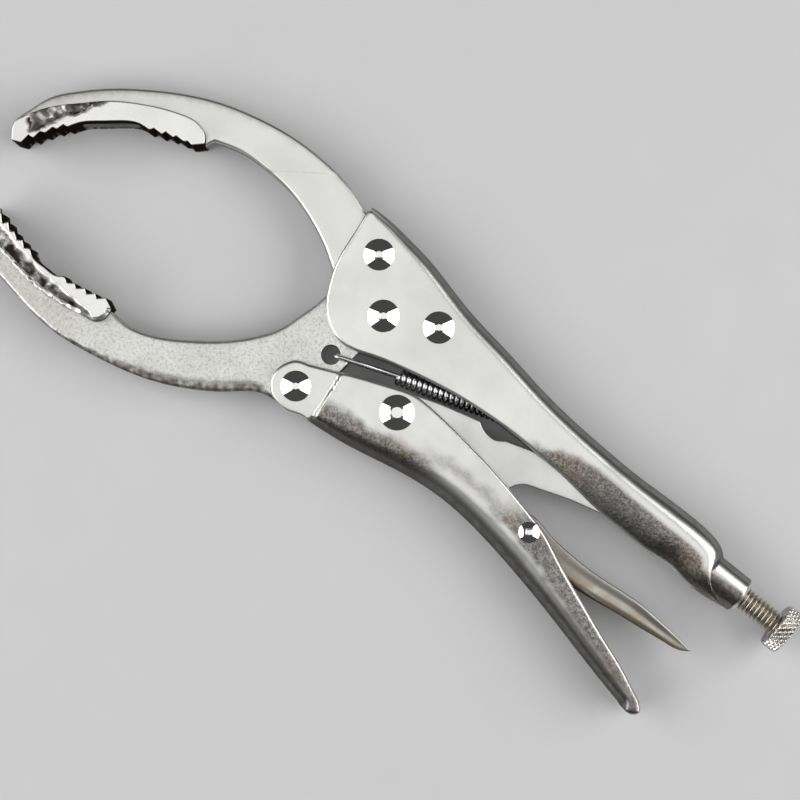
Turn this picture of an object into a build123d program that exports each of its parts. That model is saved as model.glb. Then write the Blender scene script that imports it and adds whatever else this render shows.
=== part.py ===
from build123d import *
import os
from math import cos, sin, radians, hypot, pi

# Locking pliers with wide curved jaws for gripping large round work.
# They lie flat: +X runs along the adjusting screw towards its knob, +Y towards
# the back of the fixed handle, +Z through the thickness.
# Working coordinates start at the middle of the handle barrel's end face;
# the finished pieces are moved so that the origin is under the middle of the box.

# ---------------------------------------------------------------- dimensions
HALF_WIDTH = 8.0            # half the width of the toothed shoes (mid-plane height)
JAW_HALF = 3.2              # half the thickness of the lower jaw
UPPER_JAW_HALF = 3.25       # half the thickness of the fixed jaw
CHANNEL_HALF = 3.3          # half the inside width of the fixed handle's channel
SHEET = 2.0                 # sheet thickness of both handles
LEVER_HALF = 4.3            # half the inside width of the lever behind its joggle
SPINE_SHEET = 2.1
SPINE_BEND = 3.6            # outside bend radius of the fixed handle's spine
LEVER_BEND = 4.4            # outside bend radius of the lever's spine
SCREW_R = 3.175             # 1/4 inch screw
RUN = 0.05                  # radial running clearance
BARREL_R = 5.0
BARREL_LEN = 22.0
SCREW_TIP_X = -28.3
KNOB_X0 = 11.4
KNOB_LEN = 4.0
KNOB_R = 6.24
KNOB_BORE = 3.0
LINK_HALF = 2.5
LINK_BOSS_HALF = 4.2
RELEASE_HALF = 3.8
SHANK_R = 3.15
SMALL_SHANK_R = 2.0
SPRING_R = 2.45
SPRING_WIRE_R = 0.6

# pivots and rivets (x, y)
P_FRONT = (-129.12, 10.16)      # fixed jaw, front rivet
P_REAR = (-105.28, 5.11)        # fixed jaw, rear rivet
P_JAW = (-118.34, -1.50)        # lower jaw turns here
P_LEVER = (-124.64, -29.74)     # lever turns on the lower jaw here
P_LINK = (-100.02, -18.78)      # link turns in the lever here
P_THRUST = (-35.25, -0.09)      # link's thrust end, in front of the screw
P_RELEASE = (-54.19, -21.54)    # release lever turns here
SPRING_HOLE = (-122.72, -17.73)
SPRING_HOLE_R = 2.6
HEAD_R = {"front": 4.11, "rear": 4.18, "jaw": 4.22, "lever": 3.99, "link": 4.62, "release": 2.77}

ZC = HALF_WIDTH
SHIFT_X, SHIFT_Y = 104.533, 18.598   # puts the origin under the middle of the box

# ---------------------------------------------------------------- outlines
SPINE = [(-138.16, 19.0), (-133.13, 19.18), (-127.68, 18.76), (-122.94, 18.24), (-117.68, 17.48),
         (-110.55, 15.88), (-104.2, 14.33), (-96.43, 12.92), (-88.25, 11.83), (-79.1, 10.36),
         (-67.77, 8.85), (-57.69, 8.15), (-48.42, 7.8), (-39.31, 7.75), (-34.01, 7.96),
         (-27.61, 8.2), (-20.98, 8.22), (-15.31, 7.7), (-11.6, 6.4), (-9.6, 4.6)]
SEAM = [(-9.6, -4.7), (-10.97, -6.3), (-12.99, -6.35), (-16.0, -6.0), (-19.11, -5.5), (-22.2, -5.66)]
LOWER = [(-22.2, -5.66), (-28.12, -6.15), (-33.23, -6.05), (-43.14, -5.95), (-50.22, -5.35),
         (-57.54, -4.65), (-64.18, -4.5), (-69.71, -4.3), (-74.57, -4.32), (-82.68, -4.85),
         (-90.13, -5.7), (-100.25, -7.65), (-107.03, -9.3), (-112.13, -10.75), (-117.06, -12.6)]
FRONT = [(-117.06, -12.6), (-120.74, -13.55), (-124.01, -13.5), (-127.28, -12.33), (-129.78, -10.69),
         (-131.92, -8.44), (-133.8, -5.3), (-135.3, -1.9), (-136.68, 2.28), (-137.5, 8.04),
         (-138.15, 13.64), (-138.45, 16.6), (-138.16, 19.0)]

UJ_OUTER = [(-222.9, -24.6), (-224.42, -22.38), (-223.78, -18.4), (-221.14, -11.11), (-216.95, -5.75),
            (-211.29, -0.15), (-203.92, 5.59), (-196.1, 10.62), (-186.46, 15.35), (-176.89, 18.36),
            (-165.87, 20.37), (-154.01, 20.52), (-146.12, 19.39), (-139.4, 17.0)]
UJ_TANG = [(-139.4, 17.0), (-133.1, 16.55), (-127.4, 16.05), (-120.0, 15.05), (-111.3, 13.2), (-104.5, 11.6),
           (-99.8, 9.9), (-98.2, 6.5), (-99.0, 2.0), (-102.5, -1.2), (-107.5, -1.6), (-110.4, -1.0)]
UJ_CRADLE = [(-110.4, -1.0), (-112.2, 3.4), (-118.34, 6.4), (-123.6, 4.5), (-126.2, 1.4)]
UJ_INNER = [(-135.79, -0.6), (-141.59, 3.07), (-149.64, 6.6), (-156.9, 8.6), (-165.2, 9.3),
            (-174.09, 8.63), (-180.72, 6.48)]
US_BOUND = [(-224.42, -22.38), (-224.0, -18.9), (-221.9, -15.4), (-218.02, -12.0), (-212.33, -6.41), (-206.39, -1.39),
            (-201.59, 1.66), (-196.32, 4.41), (-191.36, 6.38), (-187.04, 7.31), (-184.33, 6.71),
            (-182.6, 5.3), (-181.82, 4.15)]
US_TEETH = [(-181.82, 4.15), (-184.17, 1.88), (-185.56, 2.05), (-186.23, 1.37), (-188.77, 1.22),
            (-189.15, 0.42), (-191.53, 0.39), (-191.87, -0.74), (-194.45, -0.8), (-194.99, -1.86)]
US_ARC = [(-194.99, -1.86), (-198.2, -2.25), (-202.39, -4.73), (-206.3, -8.0), (-210.2, -11.6), (-211.95, -14.43)]
US_TEETH2 = [(-211.95, -14.43), (-213.17, -14.65), (-213.73, -16.61), (-214.88, -16.9), (-215.48, -19.26),
             (-216.73, -19.77), (-217.06, -22.18), (-218.48, -22.29), (-218.77, -25.06), (-221.0, -26.05),
             (-223.2, -24.9), (-224.42, -22.38)]

LJ_OUTER = [(-216.6, -49.2), (-215.4, -52.6), (-211.26, -54.35), (-202.91, -55.44), (-196.95, -56.45),
            (-188.07, -57.7), (-181.5, -57.85), (-175.73, -57.21), (-164.68, -55.01), (-154.55, -51.88),
            (-145.55, -47.34), (-138.85, -42.83), (-134.2, -38.9), (-130.6, -36.7), (-127.31, -36.05)]
LJ_EYE_B = [(-127.31, -36.05), (-123.6, -36.1), (-119.6, -34.0), (-117.7, -30.2), (-117.6, -25.0), (-117.82, -19.5)]
LJ_EYE_A = [(-117.27, -12.75), (-114.4, -8.0), (-111.6, -4.6), (-110.85, -1.5), (-112.6, 3.25),
            (-118.34, 5.95), (-123.6, 3.9), (-126.6, 0.2), (-129.9, -3.6), (-133.29, -6.71)]
LJ_INNER = [(-133.29, -6.71), (-134.14, -10.92), (-135.44, -15.29), (-137.01, -20.21), (-140.3, -25.4),
            (-145.5, -31.2), (-153.41, -37.53), (-161.93, -42.67), (-168.78, -44.66), (-174.04, -44.5)]
LS_BOUND = [(-215.9, -45.6), (-214.4, -48.4), (-211.34, -49.3), (-205.49, -50.13), (-200.68, -50.89),
            (-195.88, -51.5), (-189.59, -51.6), (-183.88, -50.91), (-178.43, -49.84), (-175.34, -49.01),
            (-174.1, -47.2), (-174.04, -44.5)]
LS_TEETH = [(-174.04, -44.5), (-174.25, -43.72), (-176.86, -42.56), (-178.53, -44.13), (-179.67, -43.36),
            (-181.29, -44.86), (-182.53, -43.98), (-184.27, -45.37), (-185.39, -44.59), (-186.92, -45.72),
            (-188.58, -44.84)]
LS_ARC = [(-188.58, -44.84), (-190.4, -46.1), (-193.98, -46.3), (-198.0, -46.1), (-199.93, -44.76)]
LS_TEETH2 = [(-199.93, -44.76), (-201.21, -45.66), (-202.69, -44.34), (-203.95, -45.12), (-205.78, -43.89),
             (-206.73, -44.65), (-208.48, -42.99), (-209.54, -44.17), (-211.36, -42.27), (-212.51, -43.59),
             (-214.44, -41.71), (-215.9, -43.0), (-215.9, -45.6)]

LV_LOBE = [(-116.19, -34.79), (-118.72, -34.95), (-122.4, -36.16), (-125.92, -36.01), (-128.56, -35.15),
           (-130.4, -33.2), (-131.28, -29.6), (-130.53, -27.0), (-128.77, -24.5), (-125.72, -23.32)]
LV_TOP = [(-125.72, -23.32), (-120.39, -20.91), (-113.17, -17.57), (-108.19, -15.55), (-103.55, -13.69),
          (-100.2, -12.6), (-96.0, -12.25), (-90.82, -12.5), (-85.56, -12.98), (-79.75, -13.7),
          (-74.18, -14.4), (-69.57, -15.19), (-65.26, -16.0), (-61.73, -16.73), (-56.25, -17.9),
          (-49.38, -19.9), (-45.35, -21.7), (-38.6, -24.6), (-30.07, -27.84), (-21.63, -30.97),
          (-13.11, -34.0), (-7.15, -36.69)]
LV_TIP = [(-7.15, -36.69), (-3.6, -38.6), (-2.7, -40.1), (-3.6, -41.5), (-8.19, -41.45)]
LV_OUTER = [(-8.19, -41.45), (-19.93, -38.85), (-34.26, -35.4), (-47.98, -32.4), (-61.18, -30.1),
            (-72.0, -28.95), (-82.63, -29.2), (-94.49, -31.2), (-106.19, -33.6), (-116.19, -34.79)]

LINK_TOP = [(-100.74, -12.9), (-92.73, -9.96), (-88.69, -8.79), (-84.44, -7.64), (-81.75, -6.95)]
LINK_NOTCH = [(-81.75, -6.95), (-80.21, -7.9), (-77.7, -8.5), (-75.3, -8.1), (-73.5, -6.8)]
LINK_LOW = [(-35.8, -4.05), (-42.95, -6.3), (-51.23, -8.54), (-58.74, -11.17), (-62.6, -12.77), (-64.02, -14.11), (-65.03, -15.95)]
LINK_BELLY = [(-65.03, -15.95), (-68.5, -18.3), (-78.0, -20.6), (-90.0, -23.2), (-100.0, -24.6)]

RELEASE_TOP = [(-59.8, -18.2), (-54.5, -17.6), (-50.06, -18.45), (-42.15, -19.2), (-37.12, -19.3), (-29.55, -18.75),
               (-23.28, -18.1), (-18.33, -17.95), (-12.86, -18.2), (-6.49, -18.6), (-1.53, -19.32)]
RELEASE_LOW = [(-1.53, -19.32), (-3.97, -20.95), (-7.94, -21.8), (-15.63, -22.85), (-23.28, -23.79),
               (-30.46, -24.9), (-35.88, -25.6), (-44.0, -26.6), (-51.5, -26.6), (-57.0, -25.2), (-61.6, -22.6)]


# ---------------------------------------------------------------- helpers
def region(*runs):
    """Closed face from runs of points: two points make a line, more make a smooth curve or a polyline."""
    edges = []
    for kind, pts in runs:
        pts = [Vector(p[0], p[1], 0) for p in pts]
        if kind == "s":
            edges.append(Spline(*pts))
        else:
            for a, b in zip(pts[:-1], pts[1:]):
                edges.append(Line(a, b))
    return make_face(Wire(edges))


def slab(face, half, centre=ZC):
    """Extrude a face drawn on z = 0 to centre - half .. centre + half."""
    return extrude(face.moved(Location((0, 0, centre - half))), amount=2 * half, dir=(0, 0, 1))


def offset_pts(pts, d):
    """Points moved d to the right-hand side of their direction of travel."""
    out = []
    for i, p in enumerate(pts):
        a = pts[max(i - 1, 0)]
        b = pts[min(i + 1, len(pts) - 1)]
        tx, ty = b[0] - a[0], b[1] - a[1]
        n = hypot(tx, ty)
        out.append((p[0] + d * ty / n, p[1] - d * tx / n))
    return out


def upright(p, r, half, centre=ZC):
    return Pos(p[0], p[1], centre) * Cylinder(r, 2 * half)


def along_x(x0, x1, r):
    return Pos((x0 + x1) / 2, 0, ZC) * (Rot(0, 90, 0) * Cylinder(r, abs(x1 - x0)))


def round_edges(solid, pick, radii):
    """Round the picked edges with the first radius that holds."""
    for r in radii:
        try:
            edges = [e for e in solid.edges() if pick(e)]
            out = solid.fillet(r, edges)
            if out.is_valid:
                return out
        except Exception:
            pass
    return solid


def rivet(p, shank_r, head_r, head_h, seat_half, flat_r=1.2):
    """Shank with a low domed head on both sides; the dome ends in a small flat."""
    prof = []
    n = 7
    top = seat_half + head_h
    outer = []
    for i in range(n):
        t = radians(90 * i / (n - 1))
        outer.append((flat_r + (head_r - flat_r) * cos(t), seat_half + 0.25 + (head_h - 0.25) * sin(t)))
    pts_up = [(shank_r, 0), (shank_r, seat_half), (head_r, seat_half)] + outer + [(0, top)]
    pts_dn = [(x, -z) for x, z in reversed(pts_up)][:-1]
    pts = pts_up + pts_dn
    face = make_face(Polyline(*[Vector(x, 0, z) for x, z in pts], close=True))
    return Pos(p[0], p[1], ZC) * revolve(face, Axis.Z, 360)


parts = {}

# ---------------------------------------------------------------- fixed handle
fh_outer_face = region(("s", SPINE), ("l", [SPINE[-1], SEAM[0]]), ("s", SEAM), ("s", LOWER), ("s", FRONT))
fh = slab(fh_outer_face, CHANNEL_HALF + SHEET)


def near_curve(curve, tol):
    def test(e):
        c = e.center()
        if abs(abs(c.Z - ZC) - (CHANNEL_HALF + SHEET)) > 0.01:
            return False
        return min(hypot(c.X - q[0], c.Y - q[1]) for q in curve) < tol
    return test


fh = round_edges(fh, lambda e: near_curve(SPINE[4:12], 9.0)(e) and e.length > 60 and e.center().Y > 3, [SPINE_BEND, 3.0, 2.4, 1.6])
inner = offset_pts(SPINE[:-2], SPINE_SHEET)
cut_pts = [p for p in inner if p[0] < -22.0]
cut_pts = [(-150.0, cut_pts[0][1])] + cut_pts
fh_cut = region(("s", cut_pts[1:]), ("l", [cut_pts[-1], (-21.0, 5.0), (-21.0, -40.0), (-150.0, -40.0), cut_pts[0], cut_pts[1]]))
fh -= slab(fh_cut, CHANNEL_HALF)
fh += along_x(-BARREL_LEN, 0, BARREL_R)
# sheet tongue inside the spine that anchors the rear hook of the spring
tongue = Pos(-65.0, 3.6, ZC) * Box(3.2, 8.4, 2.0)
fh += tongue
fh -= upright((-65.0, 1.3), 0.95, 2.0)
fh -= along_x(-BARREL_LEN - 2, 1, SCREW_R + RUN)
for p in (P_FRONT, P_REAR, P_JAW):
    fh -= upright(p, SHANK_R + 0.01, 12)
parts["fixed_handle"] = fh

# ---------------------------------------------------------------- fixed jaw and its toothed shoe
us_face = region(("s", US_BOUND), ("l", US_TEETH), ("s", US_ARC), ("l", US_TEETH2))
upper_shoe = slab(us_face, HALF_WIDTH)
uj_face = region(("s", UJ_OUTER), ("s", UJ_TANG), ("s", UJ_CRADLE), ("l", [UJ_CRADLE[-1], UJ_INNER[0]]),
                 ("s", UJ_INNER), ("l", [UJ_INNER[-1], (-181.82, 4.15), (-195.0, 0.5), (-212.0, -13.0), (-221.0, -23.5), UJ_OUTER[0]]))
upper_jaw = slab(uj_face, UPPER_JAW_HALF) - upper_shoe
upper_jaw = max(upper_jaw.solids(), key=lambda q: q.volume)
for p in (P_FRONT, P_REAR):
    upper_jaw -= upright(p, SHANK_R + 0.01, 12)
parts["upper_jaw"] = upper_jaw
parts["upper_jaw_shoe"] = upper_shoe

# ---------------------------------------------------------------- lower jaw and its toothed shoe
ls_face = region(("s", LS_BOUND), ("l", LS_TEETH), ("s", LS_ARC), ("l", LS_TEETH2))
lower_shoe = slab(ls_face, HALF_WIDTH)
lj_face = region(("s", LJ_OUTER), ("s", LJ_EYE_B), ("l", [LJ_EYE_B[-1], LJ_EYE_A[0]]), ("s", LJ_EYE_A),
                 ("s", LJ_INNER), ("l", [LJ_INNER[-1], (-188.0, -47.0), (-200.0, -47.4), (-214.5, -45.5), LJ_OUTER[0]]))
lower_jaw = slab(lj_face, JAW_HALF) - lower_shoe
lower_jaw = max(lower_jaw.solids(), key=lambda q: q.volume)
lower_jaw -= upright(P_JAW, SHANK_R + RUN, 12)
lower_jaw -= upright(P_LEVER, SHANK_R + RUN, 12)
lower_jaw -= upright(SPRING_HOLE, SPRING_HOLE_R, 12)
parts["lower_jaw"] = lower_jaw
parts["lower_jaw_shoe"] = lower_shoe

# ---------------------------------------------------------------- lever
lever_face = region(("s", LV_LOBE), ("s", LV_TOP), ("s", LV_TIP), ("s", LV_OUTER))
joggle_box_x = -117.2
lobe_zone = Pos(joggle_box_x + 1.0 - 20.0, -28.0, ZC) * Box(40.0, 60.0, 40.0)
body_zone = Pos(joggle_box_x + 65.0, -28.0, ZC) * Box(130.0, 60.0, 40.0)
lobe = (slab(lever_face, CHANNEL_HALF + SHEET) & lobe_zone)
body = slab(lever_face, LEVER_HALF + SHEET)
body = round_edges(body, lambda e: e.length > 70 and abs(abs(e.center().Z - ZC) - LEVER_HALF - SHEET) < 0.01
                   and e.center().Y < -28.5, [LEVER_BEND, 3.6, 2.8, 2.0, 1.2])
body = body & body_zone
lv_in = offset_pts(LV_OUTER, SPINE_SHEET)
lv_in = [p for p in lv_in if p[0] < -9.0]
lever_cut = region(("s", lv_in), ("l", [lv_in[-1], (-125.0, lv_in[-1][1]), (-125.0, 10.0), (lv_in[0][0] + 12.0, 10.0), (lv_in[0][0] + 2.0, lv_in[0][1] + 2.4), lv_in[0]]))
lever = body - slab(lever_cut, LEVER_HALF)
lever += lobe - (Pos(-131.2, -28.0, ZC) * Box(60.0, 80.0, 2 * CHANNEL_HALF))
lever -= upright(P_LEVER, SHANK_R + 0.01, 12)
lever -= upright(P_LINK, SHANK_R + 0.01, 12)
lever -= upright(P_RELEASE, SMALL_SHANK_R + 0.01, 12)
parts["lever_handle"] = lever

# ---------------------------------------------------------------- toggle link
end_r = 4.0
link_end = [(-73.5, -6.8), (-60.0, -2.3), (-46.0, 2.2), (-38.3, 3.75), (-34.6, 3.95), (-31.85, 1.9), (-31.25, -0.3), (-32.4, -2.8), (-35.8, -4.05)]
c_eye = [(-100.0, -24.6), (-104.6, -22.6), (-106.2, -18.9), (-104.7, -14.9), (-100.74, -12.9)]
link_face = region(("s", LINK_TOP), ("s", LINK_NOTCH), ("s", link_end), ("s", LINK_LOW), ("s", LINK_BELLY), ("s", c_eye))
link = slab(link_face, LINK_HALF) + upright(P_LINK, 5.4, LINK_BOSS_HALF)
link -= upright(P_LINK, SHANK_R + RUN, 12)
parts["toggle_link"] = link

# ---------------------------------------------------------------- release lever
release_face = region(("s", RELEASE_TOP), ("s", RELEASE_LOW), ("s", [RELEASE_LOW[-1], (-62.4, -20.2), RELEASE_TOP[0]]))
release = slab(release_face, RELEASE_HALF)
release -= upright(P_RELEASE, SMALL_SHANK_R + RUN, 12)
parts["release_lever"] = release

# ---------------------------------------------------------------- adjusting screw and knob
screw = along_x(SCREW_TIP_X, KNOB_X0 + KNOB_BORE - 0.3, SCREW_R)
screw = screw.chamfer(0.8, None, [e for e in screw.edges() if e.geom_type == GeomType.CIRCLE and e.center().X < SCREW_TIP_X + 0.1])
parts["adjusting_screw"] = screw
knob = along_x(KNOB_X0, KNOB_X0 + KNOB_LEN, KNOB_R)
knob = knob.chamfer(0.35, None, [e for e in knob.edges() if e.geom_type == GeomType.CIRCLE])
knob -= along_x(KNOB_X0 - 1, KNOB_X0 + KNOB_BORE, SCREW_R + RUN)
parts["screw_knob"] = knob

# ---------------------------------------------------------------- spring
sx, sy = -105.6, -11.15
ex, ey = -76.0, -2.1
clen = hypot(ex - sx, ey - sy)
ux, uy = (ex - sx) / clen, (ey - sy) / clen
coil_plane = Plane(origin=(sx, sy, ZC), x_dir=(-uy, ux, 0), z_dir=(ux, uy, 0))
coil = extrude(coil_plane * Circle(SPRING_R), amount=clen)
# front hook: out of the coil's end, over the jaw's face and down into its hole
hx, hy = SPRING_HOLE[0] + 1.2, SPRING_HOLE[1] + 0.45
hl = hypot(sx - hx, sy - hy)
hux, huy = (hx - sx) / hl, (hy - sy) / hl
hook_plane = Plane(origin=(sx, sy, ZC), x_dir=(hux, huy, 0), z_dir=(huy, -hux, 0))
zt = JAW_HALF + SPRING_WIRE_R + 0.35
hook_path = FilletPolyline(*[hook_plane.from_local_coords(Vector(a, b, 0)) for a, b in
                             [(-0.6, 1.5), (2.6, 1.5), (6.4, zt), (hl, zt), (hl, -0.6)]], radius=1.1)
hook = sweep(Plane(origin=hook_path @ 0, z_dir=hook_path % 0) * Circle(SPRING_WIRE_R), path=hook_path)
tail_dir = Vector(-66.75 - ex, 1.1 - ey, 0)
tail = extrude(Plane(origin=(ex - 0.6 * ux, ey - 0.6 * uy, ZC), z_dir=tail_dir) * Circle(SPRING_WIRE_R), amount=tail_dir.length + 0.2)
parts["tension_spring"] = coil + hook + tail

# ---------------------------------------------------------------- rivets
seat_handle = CHANNEL_HALF + SHEET
seat_lever = LEVER_HALF + SHEET
parts["fixed_jaw_front_rivet"] = rivet(P_FRONT, SHANK_R, HEAD_R["front"], 1.9, seat_handle)
parts["fixed_jaw_rear_rivet"] = rivet(P_REAR, SHANK_R, HEAD_R["rear"], 1.9, seat_handle)
parts["jaw_pivot_rivet"] = rivet(P_JAW, SHANK_R, HEAD_R["jaw"], 1.9, seat_handle)
parts["lever_pivot_rivet"] = rivet(P_LEVER, SHANK_R, HEAD_R["lever"], 1.9, seat_handle)
parts["link_pivot_rivet"] = rivet(P_LINK, SHANK_R, HEAD_R["link"], 1.5, seat_lever, flat_r=2.3)
parts["release_pivot_rivet"] = rivet(P_RELEASE, SMALL_SHANK_R, HEAD_R["release"], 1.1, seat_lever, flat_r=0.8)

# ---------------------------------------------------------------- place and write
def solid_box(shapes):
    bbs = [s.bounding_box() for s in shapes]
    return (min(b.min.X for b in bbs), max(b.max.X for b in bbs), min(b.min.Y for b in bbs),
            max(b.max.Y for b in bbs), min(b.min.Z for b in bbs), max(b.max.Z for b in bbs))


x0, x1, y0, y1, z0, z1 = solid_box(parts.values())
shift = (SHIFT_X, SHIFT_Y, 0.0)
print("box", x1 - x0, y1 - y0, z1 - z0, "off centre by", (x0 + x1) / 2 + SHIFT_X, (y0 + y1) / 2 + SHIFT_Y, z0)
os.makedirs("parts", exist_ok=True)
for name, shape in parts.items():
    moved = shape.moved(Location(shift))
    solids = moved.solids()
    print(name, len(solids), round(sum(s.volume for s in solids), 2), all(s.is_valid for s in solids))
    export_step(moved, "parts/" + name + ".step")
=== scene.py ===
import bpy
import math
import numpy as np
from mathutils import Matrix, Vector
from mathutils.geometry import delaunay_2d_cdt


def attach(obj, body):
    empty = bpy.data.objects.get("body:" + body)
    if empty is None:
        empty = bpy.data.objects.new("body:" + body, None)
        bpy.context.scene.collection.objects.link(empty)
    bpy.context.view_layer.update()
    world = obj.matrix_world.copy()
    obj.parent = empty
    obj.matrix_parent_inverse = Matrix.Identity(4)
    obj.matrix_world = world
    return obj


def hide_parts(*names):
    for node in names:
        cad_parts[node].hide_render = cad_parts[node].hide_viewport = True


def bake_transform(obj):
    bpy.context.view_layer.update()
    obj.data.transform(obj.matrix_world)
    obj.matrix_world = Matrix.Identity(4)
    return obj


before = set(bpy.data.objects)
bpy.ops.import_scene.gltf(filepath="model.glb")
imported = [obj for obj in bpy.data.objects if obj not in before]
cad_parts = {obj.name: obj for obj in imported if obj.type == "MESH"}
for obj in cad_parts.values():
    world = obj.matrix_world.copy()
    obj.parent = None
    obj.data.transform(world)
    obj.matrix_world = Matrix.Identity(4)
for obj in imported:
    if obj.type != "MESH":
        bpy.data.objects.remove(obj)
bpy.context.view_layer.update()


# working plan coordinates in mm: x along the screw from the barrel's end face, y across, z from the mid-plane
SX, SY, ZC = 104.533, 18.598, 8.0


def W(p):
    return ((p[0] + SX) / 1000.0, (p[1] + SY) / 1000.0, (p[2] + ZC) / 1000.0)


# ------------------------------------------------------------------ curves
def cubic(pts, step=0.5):
    """Natural cubic spline through the points, sampled every step mm, ends kept."""
    P = np.asarray(pts, float)
    n = len(P)
    if n == 2:
        k = max(2, int(np.hypot(*(P[1] - P[0])) / step) + 1)
        return P[0] + (P[1] - P[0]) * np.linspace(0, 1, k)[:, None]
    t = np.concatenate([[0], np.cumsum(np.sqrt(((P[1:] - P[:-1]) ** 2).sum(1)))])
    h = np.diff(t)
    A = np.zeros((n, n))
    B = np.zeros((n, P.shape[1]))
    A[0, 0] = A[-1, -1] = 1
    for i in range(1, n - 1):
        A[i, i - 1], A[i, i], A[i, i + 1] = h[i - 1], 2 * (h[i - 1] + h[i]), h[i]
        B[i] = 6 * ((P[i + 1] - P[i]) / h[i] - (P[i] - P[i - 1]) / h[i - 1])
    M = np.linalg.solve(A, B)
    m = max(4, int(t[-1] / step) + 1)
    q = np.linspace(0, t[-1], m)
    k = np.clip(np.searchsorted(t, q) - 1, 0, n - 2)
    a = (t[k + 1] - q)[:, None]
    b = (q - t[k])[:, None]
    hh = h[k][:, None]
    return (M[k] * a ** 3 + M[k + 1] * b ** 3) / (6 * hh) + (P[k] / hh - M[k] * hh / 6) * a + (P[k + 1] / hh - M[k + 1] * hh / 6) * b


def calm(P, sigma=1.2):
    """Takes the small waves out of a sampled run; its ends stay."""
    if sigma <= 0 or len(P) < 6:
        return P
    d = np.sqrt(((P[1:] - P[:-1]) ** 2).sum(1)).mean()
    r = max(1, int(3 * sigma / d))
    w = np.exp(-0.5 * (np.arange(-r, r + 1) * d / sigma) ** 2)
    w /= w.sum()
    head = 2 * P[0] - P[1:r + 1][::-1]
    tail = 2 * P[-1] - P[-r - 1:-1][::-1]
    if len(head) < r or len(tail) < r:
        return P
    Q = np.vstack([head, P, tail])
    out = np.stack([np.convolve(Q[:, c], w, "valid") for c in range(P.shape[1])], 1)
    out[0], out[-1] = P[0], P[-1]
    return out


def chain(*runs):
    """Joins runs of points end to start and drops doubled points."""
    out = []
    for r in runs:
        for p in r:
            if not out or abs(out[-1][0] - p[0]) + abs(out[-1][1] - p[1]) > 1e-4:
                out.append((float(p[0]), float(p[1])))
    if abs(out[0][0] - out[-1][0]) + abs(out[0][1] - out[-1][1]) < 1e-4:
        out.pop()
    return np.array(out)


def lines(pts, step=0.25, r=0.0):
    """Straight runs through the points, corners cut by a small arc of about r."""
    pts = [np.array(p, float) for p in pts]
    if r > 0 and len(pts) > 2:
        new = [pts[0]]
        for a, b, c in zip(pts[:-2], pts[1:-1], pts[2:]):
            u, v = a - b, c - b
            lu, lv = np.hypot(*u), np.hypot(*v)
            k = min(r, 0.42 * lu, 0.42 * lv)
            p, q = b + u / lu * k, b + v / lv * k
            for t in (0, 0.25, 0.5, 0.75, 1):
                new.append((1 - t) ** 2 * p + 2 * t * (1 - t) * b + t ** 2 * q)
        new.append(pts[-1])
        pts = new
    out = []
    for a, b in zip(pts[:-1], pts[1:]):
        n = max(1, int(np.hypot(*(b - a)) / step))
        for i in range(n):
            out.append(a + (b - a) * i / n)
    out.append(pts[-1])
    return np.array(out)


def circle(c, r, n=48):
    a = np.linspace(0, 2 * math.pi, n, endpoint=False)
    return np.stack([c[0] + r * np.cos(a), c[1] + r * np.sin(a)], 1)


def dist_to(P, line, closed=False):
    """Distance of each point to a polyline."""
    P = np.asarray(P, float)
    L = np.asarray(line, float)
    if closed:
        L = np.vstack([L, L[:1]])
    A, Bv = L[:-1], L[1:] - L[:-1]
    ll = (Bv ** 2).sum(1) + 1e-12
    best = np.full(len(P), 1e9)
    for s in range(0, len(P), 2000):
        Q = P[s:s + 2000]
        d = Q[:, None, :] - A[None]
        t = np.clip((d * Bv[None]).sum(2) / ll[None], 0, 1)
        e = d - t[..., None] * Bv[None]
        best[s:s + 2000] = np.sqrt((e ** 2).sum(2).min(1))
    return best


def inside(P, poly):
    P = np.asarray(P, float)
    x, y = P[:, 0], P[:, 1]
    c = np.zeros(len(P), bool)
    n = len(poly)
    for i in range(n):
        x1, y1 = poly[i]
        x2, y2 = poly[(i + 1) % n]
        if y1 == y2:
            continue
        m = ((y1 > y) != (y2 > y)) & (x < (x2 - x1) * (y - y1) / (y2 - y1) + x1)
        c ^= m
    return c


def ccw(poly):
    x, y = poly[:, 0], poly[:, 1]
    a = (x * np.roll(y, -1) - np.roll(x, -1) * y).sum()
    return poly if a > 0 else poly[::-1].copy()


def inset_loop(poly, d):
    """Loop moved inwards by d, one point for each point."""
    p = np.roll(poly, 1, 0)
    n = np.roll(poly, -1, 0)
    t = n - p
    t /= np.sqrt((t ** 2).sum(1))[:, None] + 1e-12
    return poly + d * np.stack([-t[:, 1], t[:, 0]], 1)


def smoothstep(x):
    x = np.clip(x, 0, 1)
    return x * x * (3 - 2 * x)


# smooth value noise on a fixed lattice, the same on every run
_rng = np.random.default_rng(11)
_LAT = _rng.random((64, 64))


def vnoise(x, y, scale, seed=0):
    u = np.asarray(x) / scale + 17.3 * seed + 400.0
    v = np.asarray(y) / scale + 9.1 * seed + 400.0
    i, j = np.floor(u).astype(int), np.floor(v).astype(int)
    fu, fv = u - i, v - j
    fu, fv = fu * fu * (3 - 2 * fu), fv * fv * (3 - 2 * fv)
    g = lambda a, b: _LAT[a % 64, b % 64]
    return (g(i, j) * (1 - fu) * (1 - fv) + g(i + 1, j) * fu * (1 - fv) + g(i, j + 1) * (1 - fu) * fv + g(i + 1, j + 1) * fu * fv) * 2 - 1


# ------------------------------------------------------------------ meshes
def new_mesh(name, verts, faces, attrs=None, flip=False):
    me = bpy.data.meshes.new(name)
    me.from_pydata([W(v) for v in verts], [], [tuple(reversed(f)) if flip else tuple(f) for f in faces])
    me.validate()
    me.update()
    ob = bpy.data.objects.new(name, me)
    bpy.context.scene.collection.objects.link(ob)
    for p in me.polygons:
        p.use_smooth = True
    if attrs:
        for k, v in attrs.items():
            a = me.attributes.new(k, "FLOAT", "POINT")
            a.data.foreach_set("value", np.asarray(v, np.float32))
    return ob


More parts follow.
